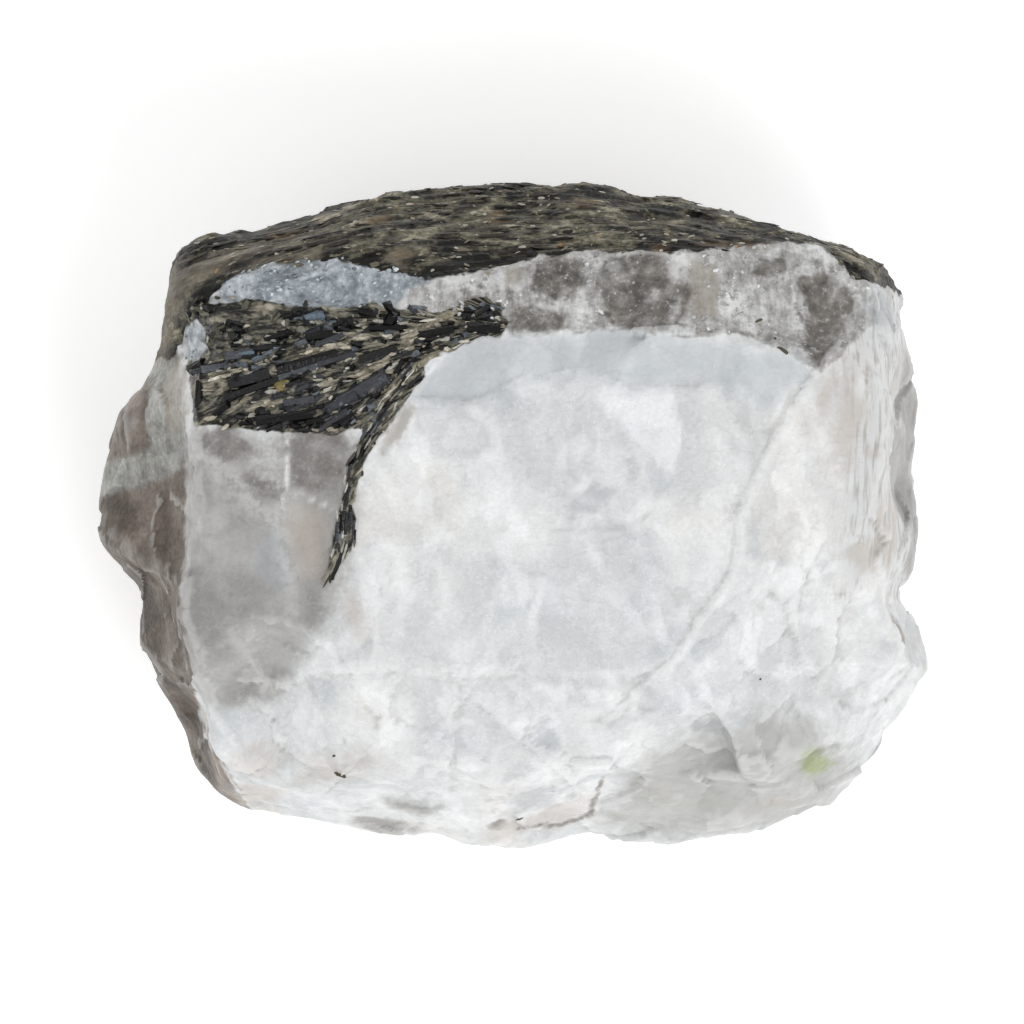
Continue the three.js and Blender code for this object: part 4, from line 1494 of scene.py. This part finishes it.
    def coarse_relief(self, places: np.ndarray, normals: np.ndarray, zones: Depths) -> np.ndarray:
        """The bowls, steps and lips that the stone broke in.

        Args:
            places: Where, in millimetres.
            normals: The surface's direction there.
            zones: How deep each place lies in each zone.

        Returns:
            Millimetres of height.
        """
        clean = smoothstep(normals[:, 2], 0.7, 0.92) * smoothstep(places[:, 1], *self.clean_from)
        clean *= smoothstep(places[:, 2], 19.0, 22.0)
        soft = [smoothstep(zones[zone], -0.4, 0.4) for zone in (Zone.CRUST, Zone.SPRAY, Zone.LENS)]
        soft[0] *= 0.3 + 0.7 * smoothstep(places[:, 2], 10.0, 15.0)
        rough = 1.0 - (1.0 - self.calm) * np.maximum.reduce([clean, *soft])
        warp = Grit(Roll.WARP).pushes(places / 4.0)
        faces, _ = Grit(Roll.FACES).steps((places + 0.7 * warp) / self.faces, self.face_rise, self.face_tilt)
        bowls = Grit(Roll.BOWLS).scallops((places + warp) / self.bowls)
        height = rough * (self.bowl_depth * bowls + self.faces * faces)
        crown = smoothstep(places[:, 2], CROWN, CROWN + 2.0)
        spots = self.minerals.drawn(places)
        for lip in self.minerals.lips:
            height += crown * lip.height(spots)
        return height

    def plates(self, places: np.ndarray) -> Tuple[np.ndarray, np.ndarray]:
        """The thin cleavage plates of the feldspar.

        Args:
            places: Where, in millimetres.

        Returns:
            Millimetres of height, and a tone of 0 to 1 for each plate.
        """
        warp = Grit(Roll.PLATE_WARP).pushes(places / 2.0, 2)
        wide_places, small_places = (places + push * warp for push in (0.9, 0.5))
        wide, wide_tone = Grit(Roll.WIDE_PLATES).steps(wide_places / self.wide_plates, 0.09, 0.05)
        small, small_tone = Grit(Roll.SMALL_PLATES).steps(small_places / self.small_plates, 0.13, 0.12)
        return wide + 0.4 * small, 0.6 * wide_tone + 0.4 * small_tone

    def fine_relief(self, places: np.ndarray, normals: np.ndarray, zones: Depths) -> np.ndarray:
        """The chips, leaves, ridges and fibres of each mineral.

        Args:
            places: Where, in millimetres.
            normals: The surface's direction there.
            zones: How deep each place lies in each zone.

        Returns:
            Millimetres of height.
        """
        share = {zone: smoothstep(depth, -0.25, 0.25) for zone, depth in zones.items()}
        clean = smoothstep(normals[:, 2], 0.75, 0.95) * smoothstep(places[:, 1], *self.clean_from)
        rough = 1.0 - 0.7 * clean
        plates, _ = self.plates(places)
        chips = self.chip_depth * Grit(Roll.CHIPS).scallops(places / self.chips)
        feldspar = rough * (plates + chips + 0.05 * Grit(Roll.DUST).layers(places / 0.8, 2))
        crumbs = 0.12 * Grit(Roll.CRUMBS).layers(places / 0.7, 2)
        fibres = 0.08 * Grit(Roll.FIBRES).layers(places / self.fibre_size, 2)
        leaves = self.minerals.leaf_place(places)
        level = leaves[:, 1] / self.leaf + 1.1 * Grit(Roll.WOBBLE).layers(leaves / self.wobble_size, 3)
        tread = np.floor(level)
        terrace = self.leaf_rise * self.leaf * (tread + smoothstep(level - tread, 0.6, 1.0) - level)
        ridges = 0.16 * Grit(Roll.RIDGES).layers(leaves / self.ridge_size, 2)
        schist = terrace * np.abs(normals[:, 1]) + ridges
        rays = self.minerals.wedge_place(places)
        schorl = 0.2 * Grit(Roll.RAYS).layers(rays / self.ray_size, 2) - 0.12
        height = feldspar
        for zone, mineral in (
            (Zone.FIBRES, 0.5 * feldspar + fibres),
            (Zone.BROW, feldspar + crumbs),
            (Zone.QUARTZ, 0.4 * feldspar),
            (Zone.FLANK, 0.5 * feldspar),
            (Zone.LENS, 0.3 * feldspar + 0.5 * crumbs),
            (Zone.CRUST, schist),
            (Zone.SPRAY, schorl),
            (Zone.VEIN, schorl + 0.16),
        ):
            height = height + share[zone] * (mineral - height)
        return height

    def bitten(self, zones: Depths, normals: np.ndarray) -> Tuple[np.ndarray, np.ndarray]:
        """How strong the facets, crumbs and streaks of the relief are, and how much light the skin lets in.

        Args:
            zones: How deep each place lies in each zone.
            normals: The surface's direction there.

        Returns:
            Rows of three strengths, and one glow a row.
        """
        bite = np.tile((0.3, 0.03, 0.0), (len(normals), 1))
        bite[:, 0] -= 0.14 * smoothstep(normals[:, 2], 0.75, 0.95)
        glow = np.full(len(normals), 0.24)
        for zone, strengths, light in self.bites:
            share = smoothstep(zones[zone], -0.15, 0.15)
            bite += share[:, None] * (np.array(strengths) - bite)
            glow += share * (light - glow)
        return bite, glow

    def evened(
        self, mesh: bpy.types.Mesh, places: np.ndarray, share: Union[float, np.ndarray], rounds: int
    ) -> np.ndarray:
        """Draws each vertex towards the middle of its neighbours, round after round.

        Args:
            mesh: The mesh, for its edges.
            places: Its places in millimetres.
            share: How far each vertex goes in a round, from 0 to 1.
            rounds: How many rounds.

        Returns:
            The new places.
        """
        pairs = np.zeros(2 * len(mesh.edges), np.int64)
        mesh.edges.foreach_get("vertices", pairs)
        first, second = pairs.reshape(-1, 2).T
        count = np.bincount(np.concatenate([first, second]), minlength=len(places)).astype(float)
        shares = np.broadcast_to(share, len(places))[:, None]
        soft = places.copy()
        for _ in range(rounds):
            total = np.stack([
                np.bincount(first, row[second], len(places)) + np.bincount(second, row[first], len(places))
                for row in soft.T
            ], axis=1)
            soft = soft + shares * (total / count[:, None] - soft)
        return soft

    def edges(self, mesh: bpy.types.Mesh, places: np.ndarray, normals: np.ndarray) -> np.ndarray:
        """How sharply the surface stands out or sinks in: about -1 in hollows to 1 on ridges.

        Args:
            mesh: The mesh.
            places: Its places in millimetres.
            normals: Its normals.

        Returns:
            One number a row.
        """
        away = places - self.evened(mesh, places, 1.0, 5)
        return np.clip(np.sum(away * normals, axis=1) / self.sharpest, -1.5, 1.5)

    def grain(self, places: np.ndarray, zones: Depths) -> Tuple[np.ndarray, np.ndarray]:
        """The places that the streaks are drawn in, and the way that the crystals lie.

        Args:
            places: Where, in millimetres.
            zones: How deep each place lies in each zone.

        Returns:
            Places drawn out along the grain, and the grain's direction at each place.
        """
        spray = (zones[Zone.SPRAY] > -0.6) & (zones[Zone.SPRAY] > zones[Zone.CRUST])
        wedge = self.minerals.wedge_place(places) / self.blade_streak
        leaves = self.minerals.leaf_place(places) / self.leaf_streak
        _, _, _, tail_along = self.minerals.tail.nearest(places)
        along = np.where(spray[:, None], self.minerals.wedge_along(places), self.minerals.leaf_along(places))
        along = np.where((zones[Zone.TAIL] > -0.2)[:, None], tail_along, along)
        muddle = spray * smoothstep(self.minerals.muddled(places), -0.5, 0.5)
        turns = Grit(Roll.TURNS).pushes(places / 0.8)
        return np.where(spray[:, None], wedge, leaves), along + 1.6 * muddle[:, None] * turns

    def store(self, mesh: bpy.types.Mesh, name: str, values: np.ndarray) -> None:
        """Stores one number or one vector for each vertex.

        Args:
            mesh: The mesh.
            name: The attribute's name.
            values: The numbers, or rows of three.
        """
        kind, key = ("FLOAT", "value") if values.ndim == 1 else ("FLOAT_VECTOR", "vector")
        made = mesh.attributes.new(name, kind, "POINT")
        made.data.foreach_set(key, values.astype(np.float32).ravel())

    def build(self) -> bpy.types.Object:
        """Makes the stone, with the attributes that its finish and its crystals read.

        Returns:
            The finished piece.
        """
        piece = self.skin()
        mesh = piece.data
        places = self.swollen(self.read(mesh)[0])
        zones = self.minerals.zones(places)
        flank = 0.4 * smoothstep(zones[Zone.FLANK], 0.0, 1.0)
        worn = np.maximum(smoothstep(zones[Zone.CRUST], -0.2, 0.8), flank)
        self.write(mesh, self.evened(mesh, places, worn, self.wear))
        for relief in (self.coarse_relief, self.fine_relief):
            places, normals = self.read(mesh)
            zones = self.minerals.zones(places)
            free = smoothstep(places[:, 2], 0.25, 2.2)
            self.write(mesh, places + normals * (free * relief(places, normals, zones))[:, None])
        places, normals = self.read(mesh)
        zones = self.minerals.zones(places)
        grain, along = self.grain(places, zones)
        pushes = Grit(Roll.PUSHES).pushes(places / 2.0)
        strands = (places + 1.1 * pushes + 0.25 * places[:, [1, 0, 2]]) / self.wisp_size
        bite, glow = self.bitten(zones, normals)
        traces = {
            Trace.GRAIN: grain,
            Trace.ALONG: along,
            Trace.PALE: self.minerals.paleness(places),
            Trace.PLATES: self.plates(places)[1],
            Trace.EDGE: self.edges(mesh, places, normals),
            Trace.BROAD: 0.5 + 0.5 * Grit(Roll.BROAD).layers((places + pushes) / 6.0, 2),
            Trace.CLOUD: 0.5 + 0.5 * Grit(Roll.CLOUD).layers((places + 0.8 * pushes) / 2.4, 3, 0.6),
            Trace.WISPS: 0.5 + 0.5 * Grit(Roll.WISPS).layers(strands, 3, 0.65),
            Trace.BITE: bite,
            Trace.GLOW: glow,
        }
        for name, values in (*zones.items(), *traces.items()):
            self.store(mesh, name.value, values)
        mesh.materials.append(self.finish.material())
        return piece


# ---------------------------------------------------------------- strewn crystals


@dataclass
class Strewing:
    """Small crystals strewn over one zone of the stone, each lying along the grain and half sunk."""

    name: str
    zone: Zone
    crystal: Crystal
    per_mm2: float
    smallest: Place
    largest: Place
    seed: int
    finish: CrystalFinish
    depth: float = 0.0
    tumble: float = 0.15
    sink: float = 0.0
    dents: float = 0.3
    steepest: float = 0.3
    tumble_seed: int = 5
    tone_seed: int = 9

    def shape(self, bench: Bench) -> Socket:
        """Makes one crystal of unit size, lying along X with its flat side up.

        Args:
            bench: The tree to work in.

        Returns:
            The crystal's geometry.
        """
        if self.crystal is Crystal.GRAIN:
            return bench.node("GeometryNodeMeshIcoSphere", {"Radius": 0.5, "Subdivisions": 1}).outputs["Mesh"]
        sizes = {"Vertices": 6, "Side Segments": 3, "Radius": 0.5, "Depth": 1.0}
        prism = bench.node("GeometryNodeMeshCylinder", sizes).outputs["Mesh"]
        turned = bench.node("GeometryNodeTransform", {"Geometry": prism, "Rotation": (0.0, math.pi / 2, 0.0)})
        return turned.outputs["Geometry"]

    def scatter(self, bench: Bench, given: bpy.types.NodeOutputs) -> Tuple[bpy.types.Node, Socket]:
        """Scatters points over the zone.

        Args:
            bench: The tree to work in.
            given: The tree's inputs.

        Returns:
            The node with the points, and the direction of the stone's grain.
        """
        depth = bench.node("GeometryNodeInputNamedAttribute", {"Name": self.zone.value}, data_type="FLOAT")
        within = bench.node("FunctionNodeCompare", {
            0: depth.outputs["Attribute"], 1: given["Depth"],
        }, data_type="FLOAT", operation="GREATER_THAN")
        points = bench.node("GeometryNodeDistributePointsOnFaces", {
            "Mesh": given["Stone"], "Selection": within.outputs[0], "Density": given["Density"],
            "Seed": given["Seed"],
        })
        named = {"Name": Trace.ALONG.value}
        along = bench.node("GeometryNodeInputNamedAttribute", named, data_type="FLOAT_VECTOR")
        return points, along.outputs["Attribute"]

    def lies_flat(self, bench: Bench, points: bpy.types.Node, way: Socket) -> Socket:
        """Picks the points where the surface doesn't stand across the grain.

        Args:
            bench: The tree to work in.
            points: The node with the points.
            way: The direction of the grain.

        Returns:
            True at the points that get a crystal.
        """
        slant = bench.vector("DOT_PRODUCT", points.outputs["Normal"], way)
        inputs = {0: bench.math("ABSOLUTE", slant), 1: self.steepest}
        return bench.node("FunctionNodeCompare", inputs, data_type="FLOAT", operation="LESS_THAN").outputs[0]

    def turned(
        self, bench: Bench, given: bpy.types.NodeOutputs, points: bpy.types.Node, way: Socket
    ) -> Socket:
        """Lays each crystal flat on the surface and along the grain, and tumbles it a little.

        Args:
            bench: The tree to work in.
            given: The tree's inputs.
            points: The node with the points.
            way: The direction of the grain.

        Returns:
            The crystals' rotation.
        """
        aligned = "FunctionNodeAlignRotationToVector"
        flat = bench.node(aligned, {"Vector": points.outputs["Normal"]}, axis="Z").outputs[0]
        lying = bench.node(aligned, {"Rotation": flat, "Vector": way}, axis="X", pivot_axis="Z").outputs[0]
        chance = bench.node("FunctionNodeRandomValue", {
            0: (-1.0, -1.0, -1.0), 1: (1.0, 1.0, 1.0), "Seed": self.tumble_seed,
        }, data_type="FLOAT_VECTOR")
        angles = bench.vector("SCALE", chance.outputs[0], scale=given["Tumble"])
        tumble = bench.node("FunctionNodeEulerToRotation", {"Euler": angles}).outputs[0]
        inputs = {"Rotation": lying, "Rotate By": tumble}
        return bench.node("FunctionNodeRotateRotation", inputs, rotation_space="LOCAL").outputs[0]

    def tree(self) -> bpy.types.NodeTree:
        """Builds the node tree: points on the zone, a crystal on each, turned along the grain.

        Returns:
            The tree.
        """
        tree = bpy.data.node_groups.new(f"strew_{self.name}", "GeometryNodeTree")
        bench = Bench(tree)
        sockets = (
            ("Stone", "NodeSocketGeometry"), ("Density", "NodeSocketFloat"), ("Depth", "NodeSocketFloat"),
            ("Smallest", "NodeSocketVector"), ("Largest", "NodeSocketVector"), ("Tumble", "NodeSocketFloat"),
            ("Sink", "NodeSocketFloat"), ("Dents", "NodeSocketFloat"), ("Seed", "NodeSocketInt"),
            ("Finish", "NodeSocketMaterial"),
        )
        for label, kind in sockets:
            tree.interface.new_socket(label, in_out="INPUT", socket_type=kind)
        tree.interface.new_socket("Crystals", in_out="OUTPUT", socket_type="NodeSocketGeometry")
        given = bench.node("NodeGroupInput", {}).outputs
        scattered, way = self.scatter(bench, given)
        size = bench.node("FunctionNodeRandomValue", {
            0: given["Smallest"], 1: given["Largest"], "Seed": given["Seed"],
        }, data_type="FLOAT_VECTOR")
        placed = bench.node("GeometryNodeInstanceOnPoints", {
            "Points": scattered.outputs["Points"], "Selection": self.lies_flat(bench, scattered, way),
            "Instance": self.shape(bench), "Rotation": self.turned(bench, given, scattered, way),
            "Scale": size.outputs[0],
        })
        drop = bench.node("ShaderNodeCombineXYZ", {2: given["Sink"]})
        sunk = bench.node("GeometryNodeTranslateInstances", {
            "Instances": placed.outputs["Instances"], "Translation": drop.outputs[0], "Local Space": True,
        })
        tone = bench.node("FunctionNodeRandomValue", {"Seed": self.tone_seed}, data_type="FLOAT")
        toned = bench.node("GeometryNodeStoreNamedAttribute", {
            "Geometry": sunk.outputs["Instances"], "Name": Trace.TONE.value, "Value": tone.outputs[1],
        }, data_type="FLOAT", domain="INSTANCE")
        real = bench.node("GeometryNodeRealizeInstances", {0: toned.outputs["Geometry"]}).outputs["Geometry"]
        dents = bench.node("ShaderNodeTexNoise", {"Scale": 1.0 / (DENT * MM), "Detail": 1.0}).outputs["Color"]
        centred = bench.vector("SUBTRACT", dents, (0.5, 0.5, 0.5))
        offset = bench.vector("SCALE", centred, scale=given["Dents"])
        dented = bench.node("GeometryNodeSetPosition", {"Geometry": real, "Offset": offset})
        dressed = bench.node("GeometryNodeSetMaterial", {
            "Geometry": dented.outputs["Geometry"], "Material": given["Finish"],
        })
        bench.node("NodeGroupOutput", {0: dressed.outputs["Geometry"]})
        return tree

    def build(self, stone: bpy.types.Object) -> bpy.types.Object:
        """Strews the crystals.

        Args:
            stone: The finished stone.

        Returns:
            All the crystals of this kind as one piece.
        """
        piece = add_object(self.name, stone.data.copy())
        modifier = piece.modifiers.new("strewn", "NODES")
        modifier.node_group = self.tree()
        values = {
            "Density": self.per_mm2 / MM**2,
            "Depth": self.depth,
            "Smallest": tuple(part * MM for part in self.smallest),
            "Largest": tuple(part * MM for part in self.largest),
            "Tumble": self.tumble,
            "Sink": -self.sink * MM,
            "Dents": self.dents * MM,
            "Seed": self.seed,
            "Finish": self.finish.material(),
        }
        for item in modifier.node_group.interface.items_tree:
            if item.in_out == "INPUT" and item.name in values:
                modifier[item.identifier] = values[item.name]
        settle(piece)
        return piece


# ---------------------------------------------------------------- the studio


@dataclass(frozen=True)
class Lamp:
    """A soft round lamp that faces the middle of the stone. Lengths are metres."""

    name: str
    place: Place
    size: float
    power: float
    aim: Place = (0.0, 0.0, 0.013)

    def build(self) -> bpy.types.Object:
        """Hangs the lamp.

        Returns:
            The lamp.
        """
        light = bpy.data.lights.new(self.name, "AREA")
        light.shape = "DISK"
        light.size = self.size
        light.energy = self.power
        lamp = add_object(self.name, light)
        lamp.location = self.place
        lamp.rotation_euler = (Vector(self.aim) - Vector(self.place)).to_track_quat("-Z", "Y").to_euler()
        return lamp


@dataclass(frozen=True)
class Studio:
    """A plain pale floor, soft light and a camera straight above, in metres, with its lens in millimetres."""

    floor: float = 3.0
    paper: Colour = (247, 247, 247)
    glow: float = 0.3
    air: float = 0.7
    lamps: Tuple[Lamp, ...] = (
        Lamp("key", (0.24, -0.4, 0.6), 0.34, 1.42),
        Lamp("top", (-0.05, 0.05, 0.9), 0.8, 1.1),
    )
    lens: float = 300.0
    sensor: float = 36.0
    view: float = 0.0545
    level: float = 0.018
    farthest: float = 10.0

    def build(self) -> None:
        """Sets up the floor, the light and the camera."""
        half = self.floor / 2.0
        corners = [(-half, -half, 0.0), (half, -half, 0.0), (half, half, 0.0), (-half, half, 0.0)]
        mesh = bpy.data.meshes.new("floor")
        mesh.from_pydata(corners, [], [(0, 1, 2, 3)])
        mesh.materials.append(Surface("paper").dressed({
            "Base Color": linear(self.paper),
            "Roughness": 0.9,
            "Emission Color": (1.0, 1.0, 1.0, 1.0),
            "Emission Strength": self.glow,
            "Specular IOR Level": 0.1,
        }))
        floor = add_object("floor", mesh)
        for lamp in self.lamps:
            lamp.build()
        world = bpy.data.worlds.new("air")
        world.use_nodes = True
        background = world.node_tree.nodes["Background"]
        background.inputs["Color"].default_value = (1.0, 1.0, 1.0, 1.0)
        background.inputs["Strength"].default_value = self.air
        scene = bpy.context.scene
        scene.world = world
        scene.view_settings.view_transform = "Standard"
        camera = add_object("camera", bpy.data.cameras.new("camera"))
        camera.data.lens = self.lens
        camera.data.sensor_width = self.sensor
        camera.data.clip_end = self.farthest
        camera.location = (0.0, 0.0, self.level + self.view * self.lens / self.sensor)
        scene.camera = camera


MICA = CrystalFinish("mica", (
    (0.0, (14, 12, 10)), (0.4, (34, 31, 26)), (0.7, (66, 61, 51)), (1.0, (116, 109, 94)),
), 0.4, 0.2)
SPECK = CrystalFinish("crust_speck", (
    (0.0, (84, 79, 68)), (0.6, (134, 128, 110)), (0.9, (190, 187, 176)), (1.0, (150, 116, 72)),
), 0.45)
# The lightest tone stands in for glints on some crystals: painted highlight.
SCHORL = CrystalFinish("schorl", (
    (0.0, (9, 9, 9)), (0.5, (26, 26, 27)), (0.8, (58, 59, 64)), (1.0, (112, 119, 128)),
), 0.24, 0.25)
FLECK = CrystalFinish("brown_mica", ((0.0, (78, 72, 58)), (1.0, (98, 90, 74))), 0.45)
# Lighter blue-grey crystals that stand in for glints of the schorl: painted highlight.
PAINTED_GLINT = CrystalFinish("schorl_painted_glint", ((0.0, (92, 106, 118)), (1.0, (116, 130, 142))), 0.2, 0.4)
LEAD = CrystalFinish("grey_schorl", ((0.0, (58, 60, 66)), (1.0, (74, 76, 82))), 0.28)
OLIVE = CrystalFinish("olive_grit", (
    (0.0, (40, 40, 35)), (0.35, (92, 91, 79)), (0.7, (142, 139, 126)), (1.0, (194, 194, 188)),
), 0.4)
BEIGE = CrystalFinish("beige_feldspar", (
    (0.0, (84, 79, 67)), (0.4, (138, 131, 114)), (0.85, (192, 185, 168)), (1.0, (216, 213, 204)),
), 0.45)
YELLOW = CrystalFinish("yellow_grain", ((0.0, (128, 116, 72)), (1.0, (158, 146, 96))), 0.3)
SUGAR = CrystalFinish("sugary_quartz", (
    (0.0, (156, 156, 155)), (0.4, (180, 181, 181)), (0.8, (216, 217, 217)), (1.0, (234, 235, 235)),
), 0.3)
BLUE = CrystalFinish("blue_quartz", (
    (0.0, (112, 120, 127)), (0.5, (158, 165, 171)), (0.85, (192, 199, 204)), (1.0, (230, 233, 235)),
), 0.24)

STREWINGS = (
    Strewing("mica_flakes", Zone.CRUST, Crystal.GRAIN, 1.2, (0.4, 0.12, 0.04), (1.9, 0.42, 0.1),
             4, MICA, -0.02, 0.06, 0.01, 0.1, 0.2),
    Strewing("crust_specks", Zone.CRUST, Crystal.GRAIN, 1.3, (0.12, 0.08, 0.05), (0.55, 0.26, 0.12),
             6, SPECK, -0.15, 0.4, 0.02, 0.1),
    Strewing("schorl_blades", Zone.LATHS, Crystal.BLADE, 0.7, (0.9, 0.24, 0.22), (3.2, 0.8, 0.44),
             8, SCHORL, 0.45, 0.13, 0.06, 0.25),
    Strewing("schorl_crumbs", Zone.LATHS, Crystal.BLADE, 2.6, (0.25, 0.14, 0.14), (1.1, 0.4, 0.32),
             10, SCHORL, 0.04, 0.5, 0.03, 0.2),
    Strewing("muddle_crumbs", Zone.MUDDLE, Crystal.BLADE, 2.6, (0.25, 0.16, 0.14), (1.1, 0.6, 0.4),
             20, SCHORL, -0.05, 1.2, 0.03, 0.25),
    Strewing("muddle_grit", Zone.MUDDLE, Crystal.GRAIN, 8.0, (0.15, 0.12, 0.1), (1.0, 0.55, 0.4),
             18, OLIVE, -0.15, 1.0, 0.0, 0.3),
    Strewing("olive_grit", Zone.LATHS, Crystal.GRAIN, 3.0, (0.2, 0.1, 0.1), (1.2, 0.32, 0.3),
             19, OLIVE, 0.05, 0.35, -0.02, 0.25),
    Strewing("beige_grains", Zone.BLADES, Crystal.GRAIN, 2.2, (0.15, 0.1, 0.1), (0.9, 0.3, 0.3),
             12, BEIGE, 0.03, 0.6, -0.02, 0.25),
    Strewing("vein_grains", Zone.VEIN, Crystal.GRAIN, 9.0, (0.2, 0.1, 0.1), (1.3, 0.26, 0.24),
             13, BEIGE, -0.06, 0.3, -0.02, 0.25),
    Strewing("tail_needles", Zone.TAIL, Crystal.BLADE, 4.0, (0.5, 0.12, 0.12), (1.4, 0.26, 0.22),
             15, SCHORL, 0.12, 0.1, 0.04, 0.14),
    Strewing("tail_grains", Zone.TAIL, Crystal.GRAIN, 7.0, (0.2, 0.1, 0.1), (1.2, 0.22, 0.22),
             17, OLIVE, 0.0, 0.2, -0.02, 0.2),
    Strewing("sugary_grains", Zone.SUGAR, Crystal.GRAIN, 1.8, (0.12, 0.1, 0.08), (0.55, 0.34, 0.22),
             14, SUGAR, 0.15, 1.2, 0.04, 0.2, 2.0),
    Strewing("blue_grains", Zone.LENS, Crystal.GRAIN, 5.0, (0.12, 0.1, 0.06), (0.45, 0.28, 0.14),
             16, BLUE, 0.35, 0.6, 0.03, 0.14, 2.0),
)


@dataclass(frozen=True)
class Flecks:
    """Single crystals set into the top of the stone: each one's x, y, length, width and turn in degrees."""

    name: str
    crystal: Crystal
    finish: CrystalFinish
    thick: float
    spots: Tuple[Tuple[float, float, float, float, float], ...]
    dents: float = 0.3
    dent_size: float = 0.3
    dent_seed: int = 1795515198
    above: float = 50.0

    def build(self, stone: bpy.types.Object) -> bpy.types.Object:
        """Sets the crystals in, each lying flat on the skin.

        Args:
            stone: The finished stone.

        Returns:
            The crystals as one piece.
        """
        corners = [tuple(vertex.co) for vertex in stone.data.vertices]
        skin = BVHTree.FromPolygons(corners, [tuple(face.vertices) for face in stone.data.polygons])
        # This noise starts from the clock unless it is given a seed.
        noise.seed_set(self.dent_seed)
        work = bmesh.new()
        for x, y, length, width, turn in self.spots:
            place, normal, _, _ = skin.ray_cast(Vector((x, y, self.above)) * MM, Vector((0.0, 0.0, -1.0)))
            heading = Vector((math.cos(math.radians(turn)), math.sin(math.radians(turn)), 0.0))
            along = (heading - normal * heading.dot(normal)).normalized()
            lie = Matrix((along, normal.cross(along), normal)).transposed().to_4x4()
            size = Matrix.Diagonal((length * MM, width * MM, self.thick * MM, 1.0))
            pose = Matrix.Translation(place) @ lie @ size
            if self.crystal is Crystal.BLADE:
                pose = pose @ Matrix.Rotation(math.pi / 2, 4, "Y")
                made = bmesh.ops.create_cone(
                    work, segments=6, cap_ends=True, radius1=0.5, radius2=0.5, depth=1.0, matrix=pose
                )
            else:
                made = bmesh.ops.create_icosphere(work, subdivisions=2, radius=0.5, matrix=pose)
            for vert in made["verts"]:
                dent = noise.noise_vector(vert.co / (self.dent_size * MM))
                vert.co += self.dents * width * MM * dent
        mesh = bpy.data.meshes.new(self.name)
        work.to_mesh(mesh)
        work.free()
        mesh.materials.append(self.finish.material())
        return add_object(self.name, mesh)


FLECKS = (
    Flecks("lone_flecks", Crystal.GRAIN, FLECK, 0.1, (
        (14.35, 8.45, 0.9, 0.24, -30.0), (13.0, 10.1, 0.6, 0.14, 25.0), (13.9, 9.15, 0.3, 0.2, 0.0),
        (-9.1, -13.9, 0.7, 0.25, -15.0), (13.1, -8.8, 0.2, 0.18, 0.0), (0.4, -16.4, 0.5, 0.14, 12.0),
        (-9.4, -12.9, 0.25, 0.12, 30.0),
    )),
    Flecks("yellow_grain", Crystal.GRAIN, YELLOW, 0.5, ((-12.1, 6.7, 0.95, 0.65, 4.0),)),
    Flecks("great_laths", Crystal.BLADE, SCHORL, 0.5, (
        (-10.8, 7.8, 3.3, 0.75, 15.0), (-13.7, 6.5, 3.0, 0.5, 17.0), (-6.9, 8.3, 2.4, 0.6, 17.0),
        (-12.0, 4.95, 3.0, 0.6, 2.0), (-4.0, 9.3, 1.9, 0.6, 6.0), (-1.5, 9.7, 1.7, 0.7, -6.0),
        (-6.3, 10.2, 1.0, 0.8, 60.0), (-1.6, 10.6, 0.9, 0.45, 20.0), (-16.5, 6.2, 1.4, 0.55, 80.0),
        (-16.7, 7.7, 1.1, 0.5, -10.0), (-14.6, 9.9, 1.0, 0.5, -30.0), (-8.9, 9.9, 1.1, 0.5, 20.0),
        (-10.3, 4.7, 0.9, 0.5, 10.0), (-8.6, 4.8, 0.9, 0.5, 40.0), (-15.3, 5.4, 1.1, 0.4, 12.0),
        (-11.6, 10.4, 1.0, 0.4, 10.0), (-7.6, 10.5, 0.9, 0.45, -15.0), (-12.4, 9.2, 1.4, 0.4, 15.0),
    )),
    Flecks("grey_laths", Crystal.BLADE, LEAD, 0.5, (
        (-7.9, 6.5, 2.9, 0.8, 26.0), (-9.0, 5.7, 2.0, 0.55, 20.0), (-11.2, 5.8, 1.7, 0.5, 10.0),
        (-9.6, 9.0, 1.6, 0.35, 14.0),
    )),
    # Crystals set in where the schorl glints: painted highlight.
    Flecks("painted_glints", Crystal.BLADE, PAINTED_GLINT, 0.45, (
        (-10.4, 10.3, 1.0, 0.6, 10.0), (-14.0, 8.4, 0.9, 0.4, 5.0), (-1.6, 9.7, 0.5, 0.35, 30.0),
        (-9.5, 9.9, 0.5, 0.3, -20.0), (-13.4, 8.1, 0.5, 0.25, 20.0),
    )),
)


def main() -> None:
    """Builds the stone, its strewn crystals and the studio."""
    logging.basicConfig(level=logging.INFO, format="%(name)s: %(message)s")
    stone = Stone().build()
    pieces = [stone, *(crystals.build(stone) for crystals in (*STREWINGS, *FLECKS))]
    for piece in pieces:
        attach(piece, BODY)
        LOG.info("%s: %d faces", piece.name, len(piece.data.polygons))
    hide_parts("moonstone")
    Studio().build()


if __name__ == "__main__":
    main()
